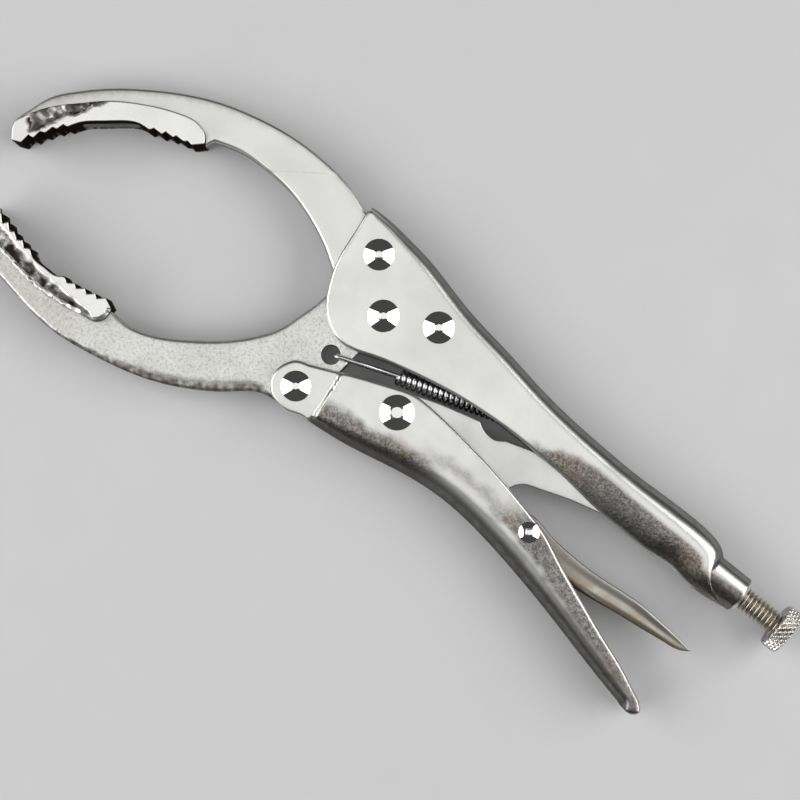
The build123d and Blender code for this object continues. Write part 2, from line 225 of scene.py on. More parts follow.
def fill(outline, holes=(), insets=(), hole_insets=(), grid=1.2, extra=None):
    """Triangles over a region: constraint loops, rows of points inside them and a fill grid."""
    outline = ccw(np.asarray(outline, float))
    loops = [outline] + [ccw(np.asarray(h, float))[::-1].copy() for h in holes]
    V = []
    E = []
    for lp in loops:
        n0 = len(V)
        V += [tuple(p) for p in lp]
        E += [(n0 + i, n0 + (i + 1) % len(lp)) for i in range(len(lp))]
    bound = outline
    rows = []
    last = 0.0
    for d in insets:
        q = inset_loop(outline, d)
        ok = inside(q, outline) & (dist_to(q, outline, True) > d * 0.86)
        rows.append(q[ok])
        last = d
    for h in loops[1:]:
        hl = 0
        for d in hole_insets:
            q = inset_loop(h, d)
            rows.append(q[inside(q, outline) & (dist_to(q, outline, True) > last)])
    lo, hi = outline.min(0), outline.max(0)
    gx = np.arange(lo[0] + grid * 0.37, hi[0], grid)
    gy = np.arange(lo[1] + grid * 0.41, hi[1], grid * 0.87)
    G = np.array([(x + (0.5 * grid if j % 2 else 0), y) for j, y in enumerate(gy) for x in gx])
    if extra is not None:
        rows.append(np.asarray(extra, float))
        G = G[dist_to(G, extra) > 0.6 * grid] if len(extra) > 1 else G
    ok = inside(G, outline) & (dist_to(G, outline, True) > last + 0.55 * grid)
    for h in loops[1:]:
        ok &= ~inside(G, h) & (dist_to(G, h, True) > (hole_insets[-1] if len(hole_insets) else 0) + 0.5 * grid)
    rows.append(G[ok])
    for r in rows:
        keep = np.ones(len(r), bool)
        for h in loops[1:]:
            keep &= ~inside(r, h)
        V += [tuple(p) for p in r[keep]]
    vo, eo, fo, _, _, _ = delaunay_2d_cdt([Vector(v) for v in V], E, [], 0, 1e-4)
    vo = np.array([(v.x, v.y) for v in vo])
    F = np.array([f for f in fo if len(f) == 3])
    c = vo[F].mean(1)
    ok = inside(c, outline)
    for h in loops[1:]:
        ok &= ~inside(c, h)
    F = F[ok]
    a, b, cc = vo[F[:, 0]], vo[F[:, 1]], vo[F[:, 2]]
    area = (b[:, 0] - a[:, 0]) * (cc[:, 1] - a[:, 1]) - (b[:, 1] - a[:, 1]) * (cc[:, 0] - a[:, 0])
    F[area < 0] = F[area < 0][:, ::-1]
    F = F[np.abs(area) > 1e-9]
    used = np.unique(F)
    remap = -np.ones(len(vo), int)
    remap[used] = np.arange(len(used))
    return vo[used], remap[F]


def rim(F):
    """Boundary edges of a triangle set, in the order of their faces."""
    seen = {}
    for f in F:
        for a, b in ((f[0], f[1]), (f[1], f[2]), (f[2], f[0])):
            seen[(a, b)] = True
    return [(a, b) for (a, b) in seen if (b, a) not in seen]


def edge_drop(d, r):
    """How far a rounded edge of radius r falls below the face at distance d from the wall."""
    u = np.clip(1 - d / r, 0, 1)
    return r * (1 - np.sqrt(np.clip(1 - u * u, 0, 1)))


def ring(r, n=5):
    return [r * (1 - math.cos(math.pi / 2 * k / n)) for k in range(1, n + 1)]


def solid_slab(name, outline, ztop, zbot=None, holes=(), insets=(), hole_insets=(), grid=1.2, rows=3, extra=None, attrs=None):
    """Closed piece from a plan region and its top and bottom heights (functions of points)."""
    P, F = fill(outline, holes, insets, hole_insets, grid, extra)
    zt = ztop(P)
    zb = -zt if zbot is None else zbot(P)
    n = len(P)
    verts = [(p[0], p[1], z) for p, z in zip(P, zt)] + [(p[0], p[1], z) for p, z in zip(P, zb)]
    faces = [tuple(f) for f in F] + [(f[2] + n, f[1] + n, f[0] + n) for f in F]
    edge = rim(F)
    ids = {}
    for a, _ in edge:
        col = [a]
        for k in range(1, rows):
            t = k / rows
            verts.append((P[a][0], P[a][1], zt[a] * (1 - t) + zb[a] * t))
            col.append(len(verts) - 1)
        col.append(a + n)
        ids[a] = col
    for a, b in edge:
        if a in ids and b in ids:
            for k in range(rows):
                faces.append((ids[a][k], ids[a][k + 1], ids[b][k + 1], ids[b][k]))
    at = None
    if attrs:
        vv = np.array(verts)
        at = {k: f(vv) for k, f in attrs.items()}
    return new_mesh(name, verts, faces, at)


def merge_mirror(verts, faces):
    """Adds the mirror image in z and joins the vertices on the mid-plane."""
    V = np.array(verts, float)
    n = len(V)
    on = np.abs(V[:, 2]) < 1e-6
    idx = np.arange(n)
    new = []
    m = idx.copy()
    for i in range(n):
        if not on[i]:
            m[i] = n + len(new)
            new.append((V[i, 0], V[i, 1], -V[i, 2]))
    F = [tuple(f) for f in faces] + [tuple(int(m[i]) for i in reversed(f)) for f in faces]
    F = [f for f in F if len(set(f)) >= 3]
    return (np.vstack([V, np.array(new)]) if new else V), F


def shell(name, outline, tags, z_out, z_in, t, spine, holes=(), insets=(), hole_insets=(), grid=1.2, attrs=None, extra=None, low=None):
    """Bent sheet open along its free edges. tags: 1 for the closed bend side, 0 for free edges, one for each outline point."""
    outline = np.asarray(outline, float)
    P, F = fill(outline, holes, insets, hole_insets, grid, extra)
    z = z_out(P)
    do = dist_to(P, spine)
    on_spine = do < 1e-3
    z = np.where(on_spine, 0.0, z)
    verts = [(p[0], p[1], zz) for p, zz in zip(P, z)]
    faces = [tuple(f) for f in F]
    # inner region
    free = outline[tags == 0]
    df = dist_to(free, spine)
    keep = df > t * 1.02
    i0, i1 = np.argmax(keep), len(keep) - 1 - np.argmax(keep[::-1])
    free_in = free[i0:i1 + 1]
    sp = np.asarray(spine, float)
    tt = np.gradient(sp, axis=0)
    tt /= np.sqrt((tt ** 2).sum(1))[:, None]
    off = sp + t * np.stack([tt[:, 1], -tt[:, 0]], 1)
    if not inside(off[len(off) // 2:len(off) // 2 + 1], ccw(outline))[0]:
        off = sp - t * np.stack([tt[:, 1], -tt[:, 0]], 1)
    ok = inside(off, ccw(outline)) & (dist_to(off, free) > 0.35) & (dist_to(off, spine) > t * 0.97)
    off = off[ok]
    # order: free_in runs end ... start of spine
    if np.hypot(*(off[0] - free_in[-1])) > np.hypot(*(off[-1] - free_in[-1])):
        off = off[::-1]
    inner = np.vstack([free_in, off])
    P2, F2 = fill(inner, holes, (0.5, 1.0, 1.8), (0.4,), grid * 1.6)
    z2 = z_in(P2)
    zero = (dist_to(P2, off) < 1e-3) | (dist_to(P2, free_in[:1].repeat(2, 0)) < 1e-3) | (dist_to(P2, free_in[-1:].repeat(2, 0)) < 1e-3)
    z2 = np.where(zero, 0.0, z2)
    n = len(verts)
    verts += [(p[0], p[1], zz) for p, zz in zip(P2, z2)]
    faces += [(f[2] + n, f[1] + n, f[0] + n) for f in F2]
    key = {}
    for i, p in enumerate(P2):
        key[(round(p[0], 3), round(p[1], 3))] = n + i
    lowid = {}

    def low_of(i):
        k = (round(P[i][0], 3), round(P[i][1], 3))
        if k in key:
            return key[k]
        if i not in lowid:
            if abs(verts[i][2]) < 1e-6:
                lowid[i] = i
            else:
                verts.append((P[i][0], P[i][1], 0.0))
                lowid[i] = len(verts) - 1
        return lowid[i]
    for a, b in rim(F):
        if on_spine[a] and on_spine[b]:
            continue
        la, lb = low_of(a), low_of(b)
        q = []
        for v in (a, la, lb, b):
            if v not in q:
                q.append(v)
        if len(q) >= 3:
            faces.append(tuple(q))
    V, FF = merge_mirror(verts, faces)
    at = {k: f(V) for k, f in attrs.items()} if attrs else None
    return new_mesh(name, V, FF, at)


def tube(name, path, r, seg=14, cap=True):
    path = np.asarray(path, float)
    T = np.gradient(path, axis=0)
    T /= np.sqrt((T ** 2).sum(1))[:, None]
    up = np.array([0.03, 0.02, 1.0])
    N = []
    prev = None
    for t in T:
        if prev is None:
            v = up - t * np.dot(up, t)
        else:
            v = prev - t * np.dot(prev, t)
        v /= np.linalg.norm(v)
        N.append(v)
        prev = v
    N = np.array(N)
    B = np.cross(T, N)
    a = np.linspace(0, 2 * math.pi, seg, endpoint=False)
    verts = []
    for i in range(len(path)):
        rr = r[i] if hasattr(r, "__len__") else r
        for k in range(seg):
            verts.append(tuple(path[i] + rr * (math.cos(a[k]) * N[i] + math.sin(a[k]) * B[i])))
    faces = []
    for i in range(len(path) - 1):
        for k in range(seg):
            k2 = (k + 1) % seg
            faces.append((i * seg + k, i * seg + k2, (i + 1) * seg + k2, (i + 1) * seg + k))
    if cap:
        c0 = len(verts)
        verts.append(tuple(path[0] - T[0] * 0.15 * (r if not hasattr(r, "__len__") else r[0])))
        verts.append(tuple(path[-1] + T[-1] * 0.15 * (r if not hasattr(r, "__len__") else r[-1])))
        m = (len(path) - 1) * seg
        for k in range(seg):
            k2 = (k + 1) % seg
            faces.append((c0, k2, k))
            faces.append((c0 + 1, m + k, m + k2))
    return new_mesh(name, verts, faces)


def lathe(name, c, prof, n=96):
    """Turned piece about a vertical axis at plan point c; prof is (radius, z) from the top middle to the bottom middle."""
    verts = []
    faces = []
    rings = []
    for r, z in prof:
        if r < 1e-6:
            verts.append((c[0], c[1], z))
            rings.append([len(verts) - 1])
        else:
            s = len(verts)
            for k in range(n):
                a = 2 * math.pi * k / n
                verts.append((c[0] + r * math.cos(a), c[1] + r * math.sin(a), z))
            rings.append(list(range(s, s + n)))
    for A, Bq in zip(rings[:-1], rings[1:]):
        for k in range(n):
            k2 = (k + 1) % n
            if len(A) == 1:
                faces.append((A[0], Bq[k], Bq[k2]))
            elif len(Bq) == 1:
                faces.append((A[k2], A[k], Bq[0]))
            else:
                faces.append((A[k], Bq[k], Bq[k2], A[k2]))
    return new_mesh(name, verts, faces)


def turned_x(name, xs, rf, seg, closed=(True, True), bore=None):
    """Turned piece along X through y = 0, z = 0. rf(x, a) is the outside radius; bore a radius or None for solid."""
    a = np.linspace(0, 2 * math.pi, seg, endpoint=False)
    verts = []
    faces = []
    for x in xs:
        r = rf(x, a)
        r = np.broadcast_to(r, a.shape)
        for k in range(seg):
            verts.append((x, r[k] * math.cos(a[k]), r[k] * math.sin(a[k])))
    n = len(xs)
    for i in range(n - 1):
        for k in range(seg):
            k2 = (k + 1) % seg
            faces.append((i * seg + k, i * seg + k2, (i + 1) * seg + k2, (i + 1) * seg + k))
    if bore is None:
        for end, s, m in ((0, xs[0], 0), (1, xs[-1], (n - 1) * seg)):
            verts.append((s, 0, 0))
            c = len(verts) - 1
            for k in range(seg):
                k2 = (k + 1) % seg
                faces.append((c, m + k2, m + k) if end == 0 else (c, m + k, m + k2))
    else:
        s0 = len(verts)
        for x in (xs[0], xs[-1]):
            for k in range(seg):
                verts.append((x, bore * math.cos(a[k]), bore * math.sin(a[k])))
        for k in range(seg):
            k2 = (k + 1) % seg
            faces.append((k2, k, s0 + k, s0 + k2))
            m = (n - 1) * seg
            faces.append((m + k, m + k2, s0 + seg + k2, s0 + seg + k))
            faces.append((s0 + k, s0 + seg + k, s0 + seg + k2, s0 + k2))
    return new_mesh(name, verts, faces)


def flat_top(half, r):
    return lambda d: half - edge_drop(d, r)


def table(x, xs, ys):
    return np.interp(x, xs, ys)


# ------------------------------------------------------------------ outlines (mm)
SPINE = [(-138.16, 19.0), (-133.13, 19.18), (-127.68, 18.76), (-122.94, 18.24), (-117.68, 17.48),
         (-110.55, 15.88), (-104.2, 14.33), (-96.43, 12.92), (-88.25, 11.83), (-79.1, 10.36),
         (-67.77, 8.85), (-57.69, 8.15), (-48.42, 7.8), (-39.31, 7.75), (-34.01, 7.96),
         (-27.61, 8.2), (-20.98, 8.22), (-15.31, 7.7), (-11.6, 6.4), (-9.6, 4.6)]
SEAM = [(-2.4, -5.1), (-6.2, -5.75), (-10.97, -6.3), (-12.99, -6.35), (-16.0, -6.0), (-19.11, -5.5), (-22.2, -5.66)]
LOWER = [(-22.2, -5.66), (-28.12, -6.15), (-33.23, -6.05), (-43.14, -5.95), (-50.22, -5.35),
         (-57.54, -4.65), (-64.18, -4.5), (-69.71, -4.3), (-74.57, -4.32), (-82.68, -4.85),
         (-90.13, -5.7), (-100.25, -7.65), (-107.03, -9.3), (-112.13, -10.75), (-117.06, -12.6)]
FRONT = [(-117.06, -12.6), (-120.74, -13.55), (-124.01, -13.5), (-127.28, -12.33), (-129.78, -10.69),
         (-131.92, -8.44), (-133.8, -5.3), (-135.3, -1.9), (-136.68, 2.28), (-137.5, 8.04),
         (-138.15, 13.64), (-138.45, 16.6), (-138.16, 19.0)]
UJ_OUTER = [(-222.9, -24.6), (-224.42, -22.38), (-223.78, -18.4), (-221.14, -11.11), (-216.95, -5.75),
            (-211.29, -0.15), (-203.92, 5.59), (-196.1, 10.62), (-186.46, 15.35), (-176.89, 18.36),
            (-165.87, 20.37), (-154.01, 20.52), (-146.12, 19.39), (-139.4, 17.0)]
UJ_TANG = [(-139.4, 17.0), (-133.1, 16.55), (-127.4, 16.05), (-120.0, 15.05), (-111.3, 13.2), (-104.5, 11.6),
           (-99.8, 9.9), (-98.2, 6.5), (-99.0, 2.0), (-102.5, -1.2), (-107.5, -1.6), (-110.4, -1.0)]
UJ_CRADLE = [(-110.4, -1.0), (-112.2, 3.4), (-118.34, 6.4), (-123.6, 4.5), (-126.2, 1.4)]
UJ_INNER = [(-135.79, -0.6), (-141.59, 3.07), (-149.64, 6.6), (-156.9, 8.6), (-165.2, 9.3),
            (-174.09, 8.63), (-180.72, 6.48)]
US_BOUND = [(-222.83, -23.57), (-223.3, -21.3), (-222.4, -19.2), (-221.2, -16.9), (-218.74, -13.06), (-214.22, -8.45), (-211.13, -5.4), (-206.39, -1.39),
            (-201.59, 1.66), (-196.32, 4.41), (-191.36, 6.38), (-187.04, 7.31), (-184.33, 6.71),
            (-182.6, 5.3), (-181.82, 4.15)]
US_TEETH = [(-181.82, 4.15), (-184.17, 1.88), (-185.56, 2.05), (-186.23, 1.37), (-188.77, 1.22),
            (-189.15, 0.42), (-191.53, 0.39), (-191.87, -0.74), (-194.45, -0.8), (-194.99, -1.86)]
US_ARC = [(-194.99, -1.86), (-198.2, -2.25), (-202.39, -4.73), (-206.3, -8.0), (-210.2, -11.6), (-211.95, -14.43)]
US_TEETH2 = [(-211.95, -14.43), (-213.17, -14.65), (-213.73, -16.61), (-214.88, -16.9), (-215.48, -19.26),
             (-216.73, -19.77), (-217.06, -22.18), (-218.48, -22.29), (-218.77, -25.06), (-221.1, -26.05),
             (-222.83, -23.57)]
LJ_OUTER = [(-216.6, -49.2), (-215.4, -52.6), (-211.26, -54.35), (-202.91, -55.44), (-196.95, -56.45),
            (-188.07, -57.7), (-181.5, -57.85), (-175.73, -57.21), (-164.68, -55.01), (-154.55, -51.88),
            (-145.55, -47.34), (-138.85, -42.83), (-134.2, -38.9), (-130.6, -36.7), (-127.31, -36.05)]
LJ_EYE_B = [(-127.31, -36.05), (-123.6, -36.1), (-119.6, -34.0), (-117.7, -30.2), (-117.6, -25.0), (-117.82, -19.5)]
LJ_EYE_A = [(-117.27, -12.75), (-114.4, -8.0), (-111.6, -4.6), (-110.85, -1.5), (-112.6, 3.25),
            (-118.34, 5.95), (-123.6, 3.9), (-126.6, 0.2), (-129.9, -3.6), (-133.29, -6.71)]
LJ_INNER = [(-133.29, -6.71), (-134.14, -10.92), (-135.44, -15.29), (-137.01, -20.21), (-140.3, -25.4),
            (-145.5, -31.2), (-153.41, -37.53), (-161.93, -42.67), (-168.78, -44.66), (-174.04, -44.5)]
LS_BOUND = [(-215.9, -45.6), (-214.4, -48.4), (-211.34, -49.3), (-205.49, -50.13), (-200.68, -50.89),
            (-195.88, -51.5), (-189.59, -51.6), (-183.88, -50.91), (-178.43, -49.84), (-175.34, -49.01),
            (-174.1, -47.2), (-174.04, -44.5)]
LS_TEETH = [(-174.04, -44.5), (-174.25, -43.72), (-176.86, -42.56), (-178.53, -44.13), (-179.67, -43.36),
            (-181.29, -44.86), (-182.53, -43.98), (-184.27, -45.37), (-185.39, -44.59), (-186.92, -45.72),
            (-188.58, -44.84)]
LS_ARC = [(-188.58, -44.84), (-190.4, -46.1), (-193.98, -46.3), (-198.0, -46.1), (-199.93, -44.76)]
LS_TEETH2 = [(-199.93, -44.76), (-201.21, -45.66), (-202.69, -44.34), (-203.95, -45.12), (-205.78, -43.89),
             (-206.73, -44.65), (-208.48, -42.99), (-209.54, -44.17), (-211.36, -42.27), (-212.51, -43.59),
             (-214.44, -41.71), (-215.9, -43.0), (-215.9, -45.6)]
LV_LOBE = [(-116.19, -34.79), (-118.72, -34.95), (-122.4, -36.16), (-125.92, -36.01), (-128.56, -35.15),
           (-130.4, -33.2), (-131.28, -29.6), (-130.53, -27.0), (-128.77, -24.5), (-125.72, -23.32)]
LV_TOP = [(-125.72, -23.32), (-120.39, -20.91), (-113.17, -17.57), (-108.19, -15.55), (-103.55, -13.69),
          (-100.2, -12.6), (-96.0, -12.25), (-90.82, -12.5), (-85.56, -12.98), (-79.75, -13.7),
          (-74.18, -14.4), (-69.57, -15.19), (-65.26, -16.0), (-61.73, -16.73), (-56.25, -17.9),
          (-49.38, -19.9), (-45.35, -21.7), (-38.6, -24.6), (-30.07, -27.84), (-21.63, -30.97),
          (-13.11, -34.0), (-7.15, -36.69)]
LV_TIP = [(-7.15, -36.69), (-3.6, -38.6), (-2.7, -40.1), (-3.6, -41.5), (-8.19, -41.45)]
LV_OUTER = [(-8.19, -41.45), (-19.93, -38.85), (-34.26, -35.4), (-47.98, -32.4), (-61.18, -30.1),
            (-72.0, -28.95), (-82.63, -29.2), (-94.49, -31.2), (-106.19, -33.6), (-116.19, -34.79)]
LINK_TOP = [(-100.74, -12.9), (-92.73, -9.96), (-88.69, -8.79), (-84.44, -7.64), (-81.75, -6.95)]
LINK_NOTCH = [(-81.75, -6.95), (-80.21, -7.9), (-77.7, -8.5), (-75.3, -8.1), (-73.5, -6.8)]
LINK_END = [(-73.5, -6.8), (-60.0, -2.3), (-46.0, 2.2), (-38.3, 3.75), (-34.6, 3.95), (-31.85, 1.9), (-31.25, -0.3),
            (-32.4, -2.8), (-35.8, -4.05)]
LINK_LOW = [(-35.8, -4.05), (-42.95, -6.3), (-51.23, -8.54), (-58.74, -11.17), (-62.6, -12.77), (-64.02, -14.11), (-65.03, -15.95)]
LINK_BELLY = [(-65.03, -15.95), (-68.5, -18.3), (-78.0, -20.6), (-90.0, -23.2), (-100.0, -24.6)]
LINK_EYE = [(-100.0, -24.6), (-104.6, -22.6), (-106.2, -18.9), (-104.7, -14.9), (-100.74, -12.9)]
RELEASE_TOP = [(-59.8, -18.2), (-54.5, -17.6), (-50.06, -18.45), (-42.15, -19.2), (-37.12, -19.3), (-29.55, -18.75),
               (-23.28, -18.1), (-18.33, -17.95), (-12.86, -18.2), (-6.49, -18.6), (-1.53, -19.32)]
RELEASE_LOW = [(-1.53, -19.32), (-3.97, -20.95), (-7.94, -21.8), (-15.63, -22.85), (-23.28, -23.79),
               (-30.46, -24.9), (-35.88, -25.6), (-44.0, -26.6), (-51.5, -26.6), (-57.0, -25.2), (-61.6, -22.6)]

P_FRONT = (-129.12, 10.16)
P_REAR = (-105.28, 5.11)
P_JAW = (-118.34, -1.50)
P_LEVER = (-124.64, -29.74)
P_LINK = (-100.02, -18.78)
P_RELEASE = (-54.19, -21.54)
SPRING_HOLE = (-122.72, -17.73)


# ------------------------------------------------------------------ materials
def tree(m):
    m.use_nodes = True
    nt = m.node_tree
    nt.nodes.clear()
    out = nt.nodes.new("ShaderNodeOutputMaterial")
    b = nt.nodes.new("ShaderNodeBsdfPrincipled")
    nt.links.new(b.outputs[0], out.inputs[0])
    return nt, b


def noise(nt, scale, detail=2.0, rough=0.5, dist=0.0, stretch=None, turn=0.0):
    tc = nt.nodes.new("ShaderNodeTexCoord")
    mp = nt.nodes.new("ShaderNodeMapping")
    if stretch:
        mp.inputs["Scale"].default_value = stretch
    mp.inputs["Rotation"].default_value = (0, 0, turn)
    nt.links.new(tc.outputs["Object"], mp.inputs["Vector"])
    n = nt.nodes.new("ShaderNodeTexNoise")
    n.inputs["Scale"].default_value = scale
    n.inputs["Detail"].default_value = detail
    n.inputs["Roughness"].default_value = rough
    n.inputs["Distortion"].default_value = dist
    nt.links.new(mp.outputs[0], n.inputs["Vector"])
    return n.outputs["Fac"]


def rng(nt, v, a, b, c, d):
    n = nt.nodes.new("ShaderNodeMapRange")
    n.inputs["From Min"].default_value = a
    n.inputs["From Max"].default_value = b
    n.inputs["To Min"].default_value = c
    n.inputs["To Max"].default_value = d
    nt.links.new(v, n.inputs["Value"])
    return n.outputs["Result"]


def op(nt, kind, a, b):
    n = nt.nodes.new("ShaderNodeMath")
    n.operation = kind
    n.use_clamp = False
    for i, v in enumerate((a, b)):
        if isinstance(v, (int, float)):
            n.inputs[i].default_value = v
        else:
            nt.links.new(v, n.inputs[i])
    return n.outputs[0]


def mixc(nt, f, a, b):
    n = nt.nodes.new("ShaderNodeMix")
    n.data_type = "RGBA"
    n.clamp_factor = True
    nt.links.new(f, n.inputs["Factor"])
    for key, v in (("A", a), ("B", b)):
        s = [i for i in n.inputs if i.name == key and i.type == "RGBA"][0]
        if isinstance(v, tuple):
            s.default_value = (*v, 1)
        else:
            nt.links.new(v, s)
    return [o for o in n.outputs if o.type == "RGBA"][0]


def attr(nt, name):
    n = nt.nodes.new("ShaderNodeAttribute")
    n.attribute_name = name
    n.attribute_type = "GEOMETRY"
    return n.outputs["Fac"]


def bump(nt, h, strength, distance, prev=None):
    n = nt.nodes.new("ShaderNodeBump")
    n.inputs["Distance"].default_value = distance
    if isinstance(strength, (int, float)):
        n.inputs["Strength"].default_value = strength
    else:
        nt.links.new(strength, n.inputs["Strength"])
    nt.links.new(h, n.inputs["Height"])
    if prev is not None:
        nt.links.new(prev, n.inputs["Normal"])
    return n.outputs[0]


def metal(name, base, shade, rough, rough_amt=0.08, blotch=500.0, grain=(3500.0, 0.25, 0.00002), peel_and_painted_shade=None,
          dirt_and_painted_shade=None, scratch=0.0, aniso=None, fleck=None, painted_shade=None):
    """Plated steel: blotchy tone, fine grain, optional coarse peel with a painted-shade tone, a darker tone that is
    dirt on some parts and painted shade on others, hair scratches and a painted-shade mask, all in object space.
    """
    m = bpy.data.materials.new(name)
    nt, b = tree(m)
    b.inputs["Metallic"].default_value = 1.0
    n1 = noise(nt, blotch, 4.0, 0.6, 0.3)
    n2 = noise(nt, blotch * 7.3, 3.0, 0.65)
    f = rng(nt, n1, 0.36, 0.66, 0.0, 1.0)
    col = mixc(nt, f, base, shade)
    r = rng(nt, n1, 0.3, 0.7, rough - rough_amt, rough + rough_amt)
    r = op(nt, "ADD", r, rng(nt, n2, 0.3, 0.7, -0.3 * rough_amt, 0.5 * rough_amt))
    nrm = None
    if grain:
        g = noise(nt, grain[0], 3.0, 0.6)
        nrm = bump(nt, g, grain[1], grain[2])
    if scratch:
        s1 = noise(nt, 260.0, 2.0, 0.7, 0.1, (1.0, 26.0, 1.0), 0.35)
        s2 = noise(nt, 300.0, 2.0, 0.7, 0.1, (30.0, 1.0, 1.0), 0.9)
        s = op(nt, "MAXIMUM", rng(nt, s1, 0.66, 0.74, 0.0, 1.0), rng(nt, s2, 0.68, 0.75, 0.0, 1.0))
        r = op(nt, "ADD", r, op(nt, "MULTIPLY", s, 0.5 * scratch))
        nrm = bump(nt, s, 0.04, 0.00002, nrm)
    if fleck:
        k = noise(nt, fleck[0], 4.0, 0.75, 0.2)
        ff = rng(nt, k, fleck[1], fleck[1] + 0.09, 0.0, 1.0)
        col = mixc(nt, op(nt, "MULTIPLY", ff, fleck[2]), col, fleck[3])
        r = op(nt, "ADD", r, op(nt, "MULTIPLY", ff, 0.1))
        nrm = bump(nt, k, fleck[4], 0.00008, nrm)
    # real orange-peel bumps, with a dark brown tone painted over the same areas as shade
    if peel_and_painted_shade:
        a = attr(nt, "peel_and_painted_shade")
        p1 = noise(nt, peel_and_painted_shade[0], 3.0, 0.6, 0.8)
        p2 = noise(nt, peel_and_painted_shade[0] * 2.3, 2.0, 0.5, 0.4)
        h = op(nt, "ADD", p1, op(nt, "MULTIPLY", p2, 0.5))
        nrm = bump(nt, h, op(nt, "MULTIPLY", a, peel_and_painted_shade[1]), peel_and_painted_shade[2], nrm)
        k = rng(nt, p1, 0.38, 0.58, 0.66, 1.0)
        tone = mixc(nt, rng(nt, noise(nt, 70.0, 2.0, 0.5), 0.42, 0.60, 0.0, 1.0), peel_and_painted_shade[4], peel_and_painted_shade[5])
        col = mixc(nt, op(nt, "MULTIPLY", op(nt, "MULTIPLY", k, a), peel_and_painted_shade[3]), col, tone)
    # darker tone from a mask: dirt or random tone on some parts, painted shade in hollows, grooves and on sloping or
    # end faces on most
    if dirt_and_painted_shade:
        a = attr(nt, "dirt_and_painted_shade")
        d1 = noise(nt, dirt_and_painted_shade[0], 4.0, 0.7, 0.6)
        k = op(nt, "MULTIPLY", rng(nt, d1, 0.34, 0.60, 0.1, 1.0), a)
        col = mixc(nt, op(nt, "MULTIPLY", k, dirt_and_painted_shade[1]), col, dirt_and_painted_shade[2])
        r = op(nt, "ADD", r, op(nt, "MULTIPLY", k, 0.12))
        nrm = bump(nt, d1, op(nt, "MULTIPLY", a, dirt_and_painted_shade[3]), 0.00015, nrm)
    # painted shade and dimmed reflections: darkens the base colour, roughens it and dims the specular tint where the
    # mask is set
    if painted_shade:
        a = attr(nt, "painted_shade")
        k = op(nt, "MULTIPLY", rng(nt, n2, 0.25, 0.75, 0.82, 1.0), a)
        kd = op(nt, "MULTIPLY", k, painted_shade[0])
        col = mixc(nt, kd, col, painted_shade[1])
        r = op(nt, "ADD", r, op(nt, "MULTIPLY", k, painted_shade[2]))
        nt.links.new(mixc(nt, kd, (1.0, 1.0, 1.0), (painted_shade[3],) * 3), b.inputs["Specular Tint"])
    nt.links.new(col, b.inputs["Base Color"])
    nt.links.new(r, b.inputs["Roughness"])
    if nrm is not None:
        nt.links.new(nrm, b.inputs["Normal"])
    if aniso:
        b.inputs["Anisotropic"].default_value = aniso
    return m


# the peel tones and painted_shade colours below are painted shade; the dirt_and_painted_shade colours are partly dirt,
# partly painted shade
M = {}
M["sheet"] = metal("plated_sheet", (0.74, 0.74, 0.715), (0.66, 0.66, 0.635), 0.30, 0.03, 55.0, (3200.0, 0.06, 0.00001),
                   peel_and_painted_shade=(1300.0, 0.75, 0.00010, 1.0, (0.135, 0.13, 0.122), (0.175, 0.125, 0.09)), scratch=0.05,
                   painted_shade=(0.92, (0.155, 0.155, 0.15), 0.0, 0.6))
M["lever"] = metal("plated_sheet_lever", (0.735, 0.735, 0.71), (0.62, 0.62, 0.60), 0.30, 0.03, 55.0, (3200.0, 0.06, 0.00001),
                   peel_and_painted_shade=(1300.0, 0.75, 0.00010, 1.0, (0.135, 0.13, 0.122), (0.175, 0.125, 0.09)), scratch=0.05,
                   painted_shade=(1.0, (0.115, 0.112, 0.107), 0.05, 0.45))
M["upper"] = metal("forged_satin", (0.735, 0.735, 0.71), (0.69, 0.69, 0.665), 0.31, 0.03, 70.0, (3000.0, 0.10, 0.00001),
                   dirt_and_painted_shade=(700.0, 0.8, (0.30, 0.27, 0.24), 0.4), scratch=0.04, painted_shade=(0.9, (0.13, 0.125, 0.12), 0.1, 0.4))
M["lower"] = metal("forged_grain", (0.73, 0.73, 0.70), (0.66, 0.66, 0.63), 0.34, 0.05, 160.0, (1700.0, 0.6, 0.00006),
                   dirt_and_painted_shade=(800.0, 0.9, (0.25, 0.21, 0.18), 0.5), fleck=(1350.0, 0.50, 0.46, (0.33, 0.325, 0.30), 0.60),
                   painted_shade=(0.96, (0.07, 0.058, 0.048), 0.15, 0.3))
M["shoe"] = metal("toothed_steel", (0.80, 0.80, 0.78), (0.77, 0.77, 0.75), 0.27, 0.04, 60.0, (3000.0, 0.08, 0.00001),
                  dirt_and_painted_shade=(420.0, 0.95, (0.13, 0.125, 0.12), 0.8), painted_shade=(1.15, (0.034, 0.026, 0.019), 0.32, 0.10))
M["link"] = metal("link_steel", (0.66, 0.665, 0.655), (0.61, 0.615, 0.605), 0.34, 0.05, 90.0, (2100.0, 0.35, 0.00003), scratch=0.06,
                  painted_shade=(0.9, (0.15, 0.145, 0.14), 0.05, 0.5))
M["rivet"] = metal("rivet_steel", (0.80, 0.79, 0.775), (0.76, 0.75, 0.735), 0.06, 0.02, 400.0, (1500.0, 0.08, 0.00001), scratch=0.04)
M["screw"] = metal("screw_thread", (0.62, 0.58, 0.48), (0.50, 0.46, 0.37), 0.26, 0.07, 700.0, (2600.0, 0.25, 0.00002),
                   dirt_and_painted_shade=(900.0, 0.8, (0.12, 0.10, 0.08), 0.4))
M["knob"] = metal("knurled_knob", (0.78, 0.755, 0.71), (0.68, 0.65, 0.60), 0.22, 0.06, 600.0, (2600.0, 0.2, 0.00002),
                  dirt_and_painted_shade=(900.0, 1.0, (0.07, 0.055, 0.045), 0.3))
